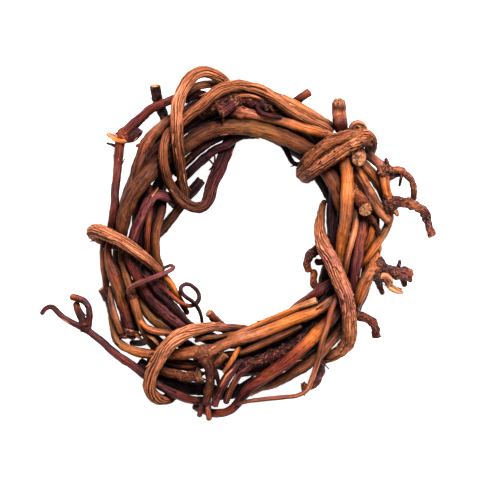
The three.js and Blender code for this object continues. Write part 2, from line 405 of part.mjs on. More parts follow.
// The paper point of a stem, placed in mm. Height 0 lies on the rounded top of the bundle.
function place([across, down, height]) {
  const x = (across - RING_X) / RING_ACROSS;
  const y = (down - RING_Y) / RING_DOWN;
  const fromMiddle = (Math.hypot(x, y) - 1) * (RING_ACROSS + RING_DOWN) / 2 / RING_HALF_WIDTH;
  const bulge = BULGE * Math.cos(Math.PI / 2 * THREE.MathUtils.clamp(fromMiddle, -1, 1));
  return new THREE.Vector3(
    (across - PAPER_X) * SQUARE,
    (PAPER_Y - down) * SQUARE,
    MIDDLE_HEIGHT + bulge + height * LAYER,
  );
}

function spiral({ across, height, start, turn, wander }) {
  const steps = Math.round(turn / SPIRAL_STEP);
  const points = [];
  for (let i = 0; i <= steps; i += 1) {
    const degrees = start + turn * i / steps;
    const angle = THREE.MathUtils.degToRad(degrees);
    const fromTie = THREE.MathUtils.euclideanModulo(degrees - TIE_ANGLE + 180, 360) - 180;
    const shift = RING_HALF_WIDTH * (across + wander * Math.sin(3 * angle + start));
    points.push(new THREE.Vector3(
      (RING_X - PAPER_X + (RING_ACROSS + shift) * Math.cos(angle)) * SQUARE,
      (PAPER_Y - RING_Y + (RING_DOWN + shift) * Math.sin(angle)) * SQUARE,
      height + TIE_LIFT * Math.exp(-((fromTie / TIE_SPREAD) ** 2)),
    ));
  }
  return points;
}

// The value at a share t of the way along a list that is spread evenly.
function along(list, t) {
  const at = t * (list.length - 1);
  const low = Math.min(Math.floor(at), list.length - 2);
  return THREE.MathUtils.lerp(list[low], list[low + 1], at - low);
}

// A strand is a stem as evenly spaced points with a radius at each.
function strandOf(node, points, widths, parent) {
  const curve = new THREE.CatmullRomCurve3(points);
  const fine = curve.getPoints((points.length - 1) * 12);
  const reached = [0];
  for (let i = 1; i < fine.length; i += 1) {
    reached.push(reached[i - 1] + fine[i].distanceTo(fine[i - 1]));
  }
  const length = reached[reached.length - 1];
  const count = Math.max(3, Math.round(length / SPACING)) + 1;
  const drawn = [];
  const radii = [];
  let k = 0;
  for (let i = 0; i < count; i += 1) {
    const goal = length * i / (count - 1);
    while (k < fine.length - 2 && reached[k + 1] < goal) {
      k += 1;
    }
    const share = (goal - reached[k]) / (reached[k + 1] - reached[k]);
    drawn.push(fine[k].clone().lerp(fine[k + 1], share));
    radii.push(along(widths, i / (count - 1)) / 2);
  }
  return { node, parent, length, drawn, radii, shift: drawn.map(() => new THREE.Vector3()) };
}

function nearestIndex(strand, point) {
  let best = 0;
  strand.drawn.forEach((p, i) => {
    if (p.distanceTo(point) < strand.drawn[best].distanceTo(point)) {
      best = i;
    }
  });
  return best;
}

// Two points may press on each other unless they are neighbours on one strand, or one of
// them is at the root of a side shoot and the other is on the same cane.
function mayPress(a, b) {
  if (a.strand === b.strand) {
    return Math.abs(a.index - b.index) * SPACING > 3 * (a.radius + b.radius);
  }
  if (a.strand.node !== b.strand.node) {
    return true;
  }
  if (a.strand.grownIn || b.strand.grownIn) {
    return false;
  }
  const free = 2 * (a.radius + b.radius);
  const rootA = a.strand.parent ? a.index * SPACING : Infinity;
  const rootB = b.strand.parent ? b.index * SPACING : Infinity;
  return Math.min(rootA, rootB) > free;
}

function findPairs(spots) {
  const cell = 8;
  const grid = new Map();
  spots.forEach((spot, i) => {
    const key = `${Math.floor(spot.at.x / cell)},${Math.floor(spot.at.y / cell)}`;
    if (!grid.has(key)) {
      grid.set(key, []);
    }
    grid.get(key).push(i);
  });
  const pairs = [];
  spots.forEach((spot, i) => {
    const column = Math.floor(spot.at.x / cell);
    const row = Math.floor(spot.at.y / cell);
    for (let c = column - 1; c <= column + 1; c += 1) {
      for (let r = row - 1; r <= row + 1; r += 1) {
        for (const j of grid.get(`${c},${r}`) ?? []) {
          const other = spots[j];
          const limit = spot.radius + other.radius + CLEARANCE + REACH;
          if (j > i && spot.at.distanceTo(other.at) < limit && mayPress(spot, other)) {
            pairs.push([spot, other]);
          }
        }
      }
    }
  });
  return pairs;
}

// The push that parts a pair. It keeps the drawn order of who lies above whom.
function pressApart([a, b]) {
  const between = a.at.clone().sub(b.at);
  const drawnRise = a.drawn.z - b.drawn.z;
  const wanted = a.radius + b.radius + CLEARANCE;
  const crossed = Math.abs(drawnRise) > 0.8 && between.z * drawnRise < 0;
  const overlap = wanted - between.length();
  if (overlap <= 0) {
    return;
  }
  const push = new THREE.Vector3(between.x * SIDEWAYS, between.y * SIDEWAYS, between.z);
  if (crossed) {
    push.set(0, 0, Math.sign(drawnRise));
  }
  push.setLength((crossed ? wanted : overlap) / 2);
  a.push.add(push);
  b.push.sub(push);
  a.touches += 1;
  b.touches += 1;
}

function smoothShift(strand, share) {
  const old = strand.shift.map((s) => s.clone());
  const last = old.length - 1;
  strand.shift.forEach((s, i) => {
    const before = old[Math.max(i - 1, 0)];
    const after = old[Math.min(i + 1, last)];
    s.lerp(before.clone().add(after).multiplyScalar(0.5), share);
  });
}

function settle(strands) {
  const spots = strands.flatMap((strand) => strand.drawn.map((drawn, index) => ({
    strand,
    index,
    drawn,
    radius: strand.radii[index],
    at: drawn.clone(),
    push: new THREE.Vector3(),
    touches: 0,
  })));
  let pairs = [];
  for (let round = 0; round < ROUNDS; round += 1) {
    const late = round / ROUNDS;
    if (round % LOOK_EVERY === 0) {
      pairs = findPairs(spots);
    }
    pairs.forEach(pressApart);
    for (const spot of spots) {
      const shift = spot.strand.shift[spot.index];
      shift.addScaledVector(spot.push, 1 / Math.max(1, spot.touches));
      shift.x *= 1 - DRAWN_PULL * (1 - late);
      shift.y *= 1 - DRAWN_PULL * (1 - late);
      const goal = spot.strand.onTable ? 0 : MIDDLE_HEIGHT;
      shift.z += (goal - spot.at.z) * SQUEEZE * (1 - late);
      spot.push.set(0, 0, 0);
      spot.touches = 0;
    }
    for (const strand of strands) {
      if (strand.parent) {
        strand.shift[0].copy(strand.parent.shift[strand.rootIndex]);
      }
      smoothShift(strand, 0.5 * (1 - late) + 0.16);
      if (strand.parent) {
        strand.shift[0].copy(strand.parent.shift[strand.rootIndex]);
      }
    }
    for (const spot of spots) {
      const shift = spot.strand.shift[spot.index];
      shift.z = Math.max(shift.z, spot.radius - FLAT_DEPTH - spot.drawn.z);
      spot.at.copy(spot.drawn).add(shift);
    }
  }
  for (const strand of strands) {
    strand.settled = strand.drawn.map((p, i) => p.clone().add(strand.shift[i]));
  }
}

// A closed tube along a strand: a cylinder bent along it, fluted where the bark is.
function tube(strand, fluted) {
  const widest = 2 * Math.max(...strand.radii);
  const sides = fluted ? 2 * FLUTES : SIDES_BY_WIDTH.find(([most]) => widest < most)[1];
  const step = fluted ? FLUTED_STEP : THREE.MathUtils.clamp(widest * 1.25, SHORT_STEP, LONG_STEP);
  const steps = Math.max(3, Math.round(strand.length / step));
  const curve = new THREE.CatmullRomCurve3(strand.settled);
  curve.arcLengthDivisions = strand.settled.length * 4;
  const points = curve.getSpacedPoints(steps);
  const frames = curve.computeFrenetFrames(steps);
  const geometry = new THREE.CylinderGeometry(1, 1, 1, sides, steps);
  geometry.deleteAttribute('normal');
  geometry.deleteAttribute('uv');
  const merged = mergeVertices(geometry, 1e-5);
  const spots = merged.attributes.position;
  for (let i = 0; i < spots.count; i += 1) {
    const t = 0.5 - spots.getY(i);
    const ring = Math.round(t * steps);
    const across = Math.hypot(spots.getX(i), spots.getZ(i));
    const angle = Math.atan2(spots.getX(i), spots.getZ(i));
    const flute = fluted ? 1 - FLUTE_DEPTH * (0.5 - 0.5 * Math.cos(FLUTES * angle)) : 1;
    const reach = across * flute * along(strand.radii, ring / steps);
    const spot = points[ring].clone();
    spot.addScaledVector(frames.normals[ring], reach * Math.sin(angle));
    spot.addScaledVector(frames.binormals[ring], reach * Math.cos(angle));
    spots.setXYZ(i, spot.x, spot.y, spot.z);
  }
  return merged;
}

const solid = (geometry) => new wasm.Manifold(new wasm.Mesh({
  numProp: 3,
  vertProperties: new Float32Array(geometry.attributes.position.array),
  triVerts: new Uint32Array(geometry.index.array),
}));

// The table under the wreath cuts the small flats that it rests on.
function tableTop() {
  const slab = new THREE.BoxGeometry(2 * WREATH_WIDTH, 2 * WREATH_WIDTH, 10);
  slab.translate(0, 0, -5);
  slab.deleteAttribute('normal');
  slab.deleteAttribute('uv');
  return solid(mergeVertices(slab));
}

function geometryOf(body) {
  const mesh = body.getMesh();
  const geometry = new THREE.BufferGeometry();
  geometry.setAttribute('position', new THREE.BufferAttribute(new Float32Array(mesh.vertProperties), 3));
  geometry.setIndex(new THREE.BufferAttribute(new Uint32Array(mesh.triVerts), 1));
  geometry.computeVertexNormals();
  return geometry;
}

const canes = [
  ...HIDDEN_CANES.map((one) => {
    const strand = strandOf(one.name, spiral(one), [one.width, one.width, 0.8 * one.width]);
    strand.onTable = one.height < TABLE_LAYER;
    return { name: one.name, bark: one.bark, strands: [strand] };
  }),
  ...FRONT_CANES.map(({ name, bark, stems }) => {
    const strands = [];
    for (const { widths, route, grownIn } of stems) {
      const points = route.map(place);
      const strand = strandOf(name, points, widths, grownIn ? undefined : strands[0]);
      strand.grownIn = grownIn;
      if (strand.parent) {
        strand.rootIndex = nearestIndex(strands[0], points[0]);
      }
      strands.push(strand);
    }
    return { name, bark, strands };
  }),
];

settle(canes.flatMap((c) => c.strands));

const table = tableTop();
const wreath = new THREE.Group();
wreath.name = 'grapevine_wreath';
for (const { name, bark, strands } of canes) {
  let body = solid(tube(strands[0], bark === 'fluted'));
  for (const shoot of strands.slice(1)) {
    body = body.add(solid(tube(shoot, shoot.grownIn)));
  }
  if (body.boundingBox().min[2] < 0) {
    body = body.subtract(table);
  }
  const [color, roughness] = COLOURS[bark];
  const material = new THREE.MeshStandardMaterial({ color, roughness, metalness: 0 });
  const mesh = new THREE.Mesh(geometryOf(body), material);
  mesh.name = name;
  wreath.add(mesh);
}

export default wreath;
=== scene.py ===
# A small wreath of wound grapevine, lying with its front up and dressed in bark.
# The canes' routes and the way they settle are those of the solids. Every cane gets a fine
# skin with grooves, knots, split bark and cut ends, and a bark material.

import json
import math

import bmesh
import bpy
import numpy as np
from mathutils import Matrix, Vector

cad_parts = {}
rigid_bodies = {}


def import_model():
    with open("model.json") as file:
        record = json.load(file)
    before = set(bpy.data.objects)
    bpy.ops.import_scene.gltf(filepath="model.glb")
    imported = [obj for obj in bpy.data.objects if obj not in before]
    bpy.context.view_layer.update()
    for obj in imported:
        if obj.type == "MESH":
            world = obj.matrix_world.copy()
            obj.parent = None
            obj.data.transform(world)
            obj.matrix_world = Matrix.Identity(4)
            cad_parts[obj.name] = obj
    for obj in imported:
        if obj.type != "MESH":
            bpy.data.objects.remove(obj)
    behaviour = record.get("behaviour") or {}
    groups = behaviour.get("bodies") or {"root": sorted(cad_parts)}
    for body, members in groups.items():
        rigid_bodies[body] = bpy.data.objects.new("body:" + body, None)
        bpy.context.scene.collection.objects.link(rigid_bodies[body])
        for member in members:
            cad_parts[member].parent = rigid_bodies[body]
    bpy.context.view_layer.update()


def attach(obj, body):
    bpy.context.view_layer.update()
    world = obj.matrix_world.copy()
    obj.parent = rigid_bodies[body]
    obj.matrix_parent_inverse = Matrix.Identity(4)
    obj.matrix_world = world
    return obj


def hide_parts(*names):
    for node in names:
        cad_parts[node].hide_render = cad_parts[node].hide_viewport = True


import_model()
MM = 0.001
TURN = 2 * math.pi
TINY = 1e-6
MERGE = 1e-7

# Driving sizes, in metres, as in the solids.
WREATH_WIDTH = 0.139
MIDDLE_HEIGHT = 0.011
BULGE = 0.0065
LAYER = 0.0042
CLEARANCE = 0.0005

# The squared paper: how many squares the wreath spans, and the paper point over the origin.
SQUARES_ACROSS = 397
SQUARE = WREATH_WIDTH / SQUARES_ACROSS
PAPER_X = 238.27
PAPER_Y = 242.19

# The ring of the bundle, in squares: its centre, half axes and half width.
RING_X = 243
RING_Y = 236
RING_ACROSS = 111
RING_DOWN = 125
RING_HALF_WIDTH = 34

# Settling: spacing of the points along a cane, rounds, and how the canes give way.
SPACING = 0.0016
DRAWN_STEPS = 12
ROUNDS = 260
SIDEWAYS = 0.3
DRAWN_PULL = 0.04
SQUEEZE = 0.006
REACH = 0.0024
LOOK_EVERY = 8
FLAT_DEPTH = 0.00035
CLEAR_RISE = 0.0008
LEAST_SMOOTHING = 0.16
EARLY_SMOOTHING = 0.5

# How far apart two spots of one strand, and of one cane near a shoot's root, have to be before
# they press on each other, as shares of their two radii.
SAME_STRAND = 3
NEAR_ROOT = 2

# The hidden spirals: degrees in a step, how often they wander in a turn, how much the far end
# tapers, and the height in mm below which a cane lies on the table. Where the tie passes under
# them, it lifts them.
SPIRAL_STEP = 12
WANDERS = 3
SPIRAL_TAPER = 0.8
TABLE_LAYER = 3
TIE_ANGLE = 42
TIE_SPREAD = 15
TIE_LIFT = 5

# Fineness of the skins: length of a step, width of a side, fewest steps and sides.
RING_STEP = 0.0005
FLUTED_STEP = 0.0006
SIDE_WIDTH = 0.0006
FEWEST_STEPS = 8
FEWEST_SIDES = 12
LOOSE_SIDES = 8
SETTLED_STEPS = 8
GROOVES = 17
SIDES_PER_GROOVE = 5

# The bark swells a little past the solid, because real canes touch.
BARK_GROWTH = 0.00008

# The widths under which a cane ends in a tip and has no nodes, and over which a side shoot's
# collar is low.
THIN_TIP = 0.0024
THIN_CANE = 0.0028
WIDE_SHOOT = 0.004

# The rings that close an end: how far each lies past the end, in radii, its size, how much
# of the cut shows on it.
CUT_END = [(0.05, 0.97, 0), (0.1, 0.85, 1), (0.06, 0.7, 1), (0.08, 0.55, 1), (0.06, 0.4, 1),
           (-0.02, 0.2, 1), (-0.04, 0, 1)]
TIP_END = [(0.26, 0.97, 0), (0.5, 0.87, 0), (0.71, 0.71, 0), (0.87, 0.5, 0), (0.97, 0.26, 0),
           (1, 0, 0)]
TORN_END = [(0.3, 0.95, 0.2), (0.8, 0.8, 0.7), (0.5, 0.62, 0.5), (0.1, 0.4, 0.7),
            (0, 0.2, 0.4), (0, 0, 0.2)]
ENDS = {"cut": CUT_END, "tip": TIP_END, "torn": TORN_END}

# A cut face is a little uneven, and more so the further its rings lie from the end.
FACE_UNEVEN = 0.05
TORN_UNEVEN = 0.35

# Every cane has seeds of its own, one for each strand, and its grain starts elsewhere.
SEEDS_PER_CANE = 100
SEED_SHIFT = 0.071
NODE_SEED = 20

# Waves that are added up to a smooth random pattern on a cane: the pattern's own seed, the
# shortest and longest wave in metres, the fewest and most turns round the cane, the number.
RIPPLES = {
    "sway": (0, 0.006, 0.03, 0, 2, 9),
    "flute_drift": (1, 0.012, 0.05, 0, 2, 9),
    "flute_depth": (2, 0.02, 0.08, 1, 4, 9),
    "facet_drift": (3, 0.02, 0.06, 0, 0, 9),
    "long_lines": (4, 0.02, 0.09, 6, 14, 12),
    "split_drift": (5, 0.02, 0.06, 0, 0, 9),
    "knot_lumps": (6, 0.0011, 0.003, 2, 6, 12),
    "flakes": (7, 0.0015, 0.008, 2, 9, 14),
    "grit": (8, 0.002, 0.006, 2, 7, 9),
    "face": (9, 1, 2, 1, 6, 9),
    "lumps": (10, 0.0024, 0.009, 1, 3, 10),
    "broken": (21, 0.01, 0.04, 1, 3, 9),
}

# Heights of the relief, as shares of the radius.
SWAY = 0.03
GRIT = 0.02
FLAKES = 0.06
LUMPS = 0.09
KNOT_LUMPS = 0.8

# Fluted bark: deep narrow grooves that drift, and three broad folds.
FLUTE_DRIFT = 0.16
FLUTE_SHARPNESS = 0.75
FLUTE_DEPTH = 0.15
FLUTE_MEAN = 0.75
FLUTE_CHANGE = 0.35
FLUTE_RANGE = (0.5, 1.2)
FOLDS = 3
FOLD_DRIFT = 1.4
FOLD_WIDTH = 0.13
FOLD_GROOVE = 1.1
FOLD_DEPTH = 0.05

# Plain bark: slight facets, shallow long lines, and a crack where the bark has split.
FACETS = 5
FACET_HEIGHT = 0.03
FACET_DRIFT = 0.6
LINE_START = 0.8
LINE_WIDTH = 0.9
LINE_DEPTH = 0.07
SPLIT_DRIFT = 0.35
SPLIT_WIDTH = 0.22
SPLIT_DEPTH = 0.28

# Nodes along a cane: the gap between two, how far one reaches and swells, and the broken dark
# ring beside it.
NODE_GAP = (0.019, 0.034)
FIRST_NODE = 0.6
LAST_NODE = 0.003
NODE_REACH = 0.0011
NODE_SWELL = 0.09
NODE_RING = 0.0011
NODE_RING_WIDTH = 0.0003
NODE_BROKEN = 0.35
NODE_DARKEST = 0.6

# A knot that swells more than this is crusty, and a lesser one is smooth. Rough bark is crusty
# where its flakes and lumps stand high.
CRUSTY = 0.34
KNOT_CRUST = 1.6
FLAKE_CRUST = 0.5
LUMP_CRUST = 0.3
LEAST_CRUST = 0.35

# The collar where a side shoot leaves its cane.
COLLAR_REACH = 1.1
COLLAR = 0.3
LOW_COLLAR = 0.12

# Small peeling fibres, strewn by a rule: one for each so many metres of cane. Lift and sway
# are shares of the length, and widths are in mm.
FIBRE_GAP = 0.016
FIBRE_LENGTH = (0.0016, 0.0042)
FIBRE_LIFT = (0.05, 0.3)
FIBRE_SWAY = 0.25
FIBRE_SIDE = 1.2
FIBRE_ROOT = 0.0001
FIBRE_BEND = (0.5, 0.3)
FIBRE_WIDTH = (0.22, 0.42)
FIBRE_TIP = (0.3, 0.16)
FIBRE_FLAT = 0.5
FIBRE_TONES = ["straw tan", "peach brown", "tan rust", "wine black", "black wine"]

# Painted shade from other canes near a spot of bark: reach, strength, and how coarsely it's worked out.
SHADE_REACH = 0.012
SHADE_STRENGTH = 1.1
SHADE_EVERY = 4
SHADE_AROUND = 8
SHADE_BATCH = 400

# Bark tones, as red, green and blue on a paint card.
TONES = {
    "tan": (168, 100, 58),
    "peach": (208, 130, 84),
    "orange": (206, 116, 46),
    "brown": (126, 70, 38),
    "olive": (134, 86, 42),
    "umber": (98, 56, 34),
    "rust": (142, 68, 38),
    "red": (120, 50, 36),
    "wine": (80, 34, 32),
    "purple": (66, 36, 42),
    "mauve": (130, 70, 66),
    "black": (34, 18, 18),
    "pink": (180, 110, 84),
    "straw": (222, 166, 108),
}

# The tones of the card are made a little warmer, and the ridges get a painted highlight, paler than their
# tone.
WARMTH = (1.0, 0.85, 0.9)
RIDGE_HIGHLIGHT = (1.7, 1.95, 2.25)

# How each bark differs: strength of its streaks, dark cracks, dark flecks, pale specks and a
# painted highlight on its ridges, its roughness and shine, and how deep its relief is, in metres.
BARKS = {
    "fluted": {"streak": 0.9, "crack": 0.6, "fleck": 0.55, "speck": 0.15, "ridge_highlight": 0.7,
               "rough": 0.6, "shine": 0.1, "relief": 0.00036},
    "golden": {"streak": 0.7, "crack": 0.4, "fleck": 0.55, "speck": 0.35, "ridge_highlight": 0.25,
               "rough": 0.45, "shine": 0.18, "relief": 0.00021},
    "olive": {"streak": 0.7, "crack": 0.4, "fleck": 0.6, "speck": 0.25, "ridge_highlight": 0.2,
              "rough": 0.55, "shine": 0.1, "relief": 0.00021},
    "red": {"streak": 0.8, "crack": 0.4, "fleck": 0.5, "speck": 0.3, "ridge_highlight": 0.2,
            "rough": 0.5, "shine": 0.12, "relief": 0.00018},
    "dark": {"streak": 1.1, "crack": 0.6, "fleck": 0.6, "speck": 0.35, "ridge_highlight": 0.1,
             "rough": 0.55, "shine": 0.08, "relief": 0.0003},
}

# How light bark is on the whole and in its darkest streaks, and how much streaks, fibres and
# patches change that.
LIGHT = 0.68
LEAST_LIGHT = 0.25
STREAK_LIGHT = 0.85
FIBRE_LIGHT = 1.2
PATCH_LIGHT = 0.25

# How much painted shade the grooves and the nearby canes lay on bark, crust and the wood of a cut face.
GROOVE_SHADE = 0.92
PAINTED_SHADE_ON_BARK = 0.95
PAINTED_SHADE_ON_CRUST = 0.8
PAINTED_SHADE_ON_WOOD = 0.6

# The deep tone of a streak, the paleness of crusty flakes, and how crumbly a crust's edge is.
DEEP = 1.2
PALE_FLAKES = 0.45
CRUMBLY = 0.8

# The rays on a cut face: their number, and the fine grain that breaks them.
RAYS = 3.2
RAY_GRAIN = (500, 500, 300)
RAY_DETAIL = 3
RAY_ROUGH = 0.7

# What fibres, grooves and crust add to the roughness, and streaks, fibres and cracks to the
# height of the relief.
FIBRE_ROUGH = 0.22
GROOVE_ROUGH = 0.25
CRUST_ROUGH = 0.3
STREAK_HEIGHT = 0.9
FIBRE_HEIGHT = 0.45
CRACK_HEIGHT = 0.8
RELIEF_STRENGTH = 0.8

# The grains in every bark: changes for each mm round and along the cane, detail, roughness.
GRAINS = {
    "streak": (2.2, 0.07, 4, 0.65),
    "fibre": (5.5, 0.35, 2, 0.55),
    "patch": (0.16, 0.16, 2, 0.55),
    "crack": (3, 0.14, 3, 0.6),
    "speck": (3.2, 1.4, 2, 0.55),
    "fleck": (3.4, 1.1, 3, 0.7),
    "flake": (1.9, 1.2, 3, 0.7),
    "crumb": (0.9, 0.6, 3, 0.55),
}

# Between which two values a grain or a mark goes from nothing to full.
EDGES = {
    "streak": (0.4, 0.6),
    "patch": (0.35, 0.65),
    "crack": (0.57, 0.64),
    "speck": (0.64, 0.72),
    "fleck": (0.55, 0.66),
    "flake": (0.45, 0.62),
    "light": (0.15, 1),
    "crusty": (0.28, 0.48),
    "rays": (0.38, 0.58),
    "stained": (0.2, 1),
}

# The marks that a skin hands to its material.
MARKS = {
    "straight": ("FLOAT_VECTOR", "vector"),
    "tone": ("FLOAT_COLOR", "color"),
    "groove": ("FLOAT", "value"),
    "crust": ("FLOAT", "value"),
    "painted_shade": ("FLOAT", "value"),
    "cut": ("FLOAT", "value"),
}

# The studio: a plain white table, two soft lights (place, width and height in metres, watts),
# and a camera that looks straight down from far away, as in the photograph.
FLOOR_WIDTH = 6.0
FLOOR_WHITE = (0.7, 0.7, 0.7, 1)
FLOOR_ROUGH = 0.9
FLOOR_GLOW = 0.9
WHITE = (1, 1, 1, 1)
WORLD_LIGHT = 0.15
LIGHTS = {
    "key_light": ((0.22, 0.55, 0.75), 0.4, 0.3, 22.5),
    "fill_light": ((-0.35, -0.3, 0.9), 0.5, 0.5, 2),
}
PHOTO_SQUARES = 500
SENSOR = 36
CAMERA_HEIGHT = 3.0
FOCUS_HEIGHT = 0.014
NEAREST = 0.1
FARTHEST = 20


# A stem has tones and widths in mm, spread evenly along it, and a route of points: squares
# across, squares down, and height in canes above the rounded top of the bundle.
def stem(tones, widths, *route, flat=1, kind="stem"):
    return {"tones": tones, "widths": widths, "route": route, "flat": flat, "kind": kind}


# A pressed stem grew into the first stem of its cane all along.
def pressed(tones, widths, *route):
    return stem(tones, widths, *route, kind="pressed")


# A strip is a thread or torn piece of bark that hangs on its cane. The solids leave it out.
def strip(tones, widths, *route, flat=1):
    return stem(tones, widths, *route, flat=flat, kind="strip")


# A cane has a kind of bark, stems and strips. It also has what the solids leave out: how its
# ends look, how rough its bark and its side shoots are, how deep the long lines in it are, how
# deep it has split, and knots at a paper point (across, down, swelling, reach in mm).
def cane(name, bark, *parts, ends=("cut", "cut"), rough=0, gnarled=0, lined=0.5, split=0, knots=()):
    return {"name": name, "bark": bark, "parts": parts, "ends": ends, "rough": rough,
            "gnarled": gnarled, "lined": lined, "split": split, "knots": knots}


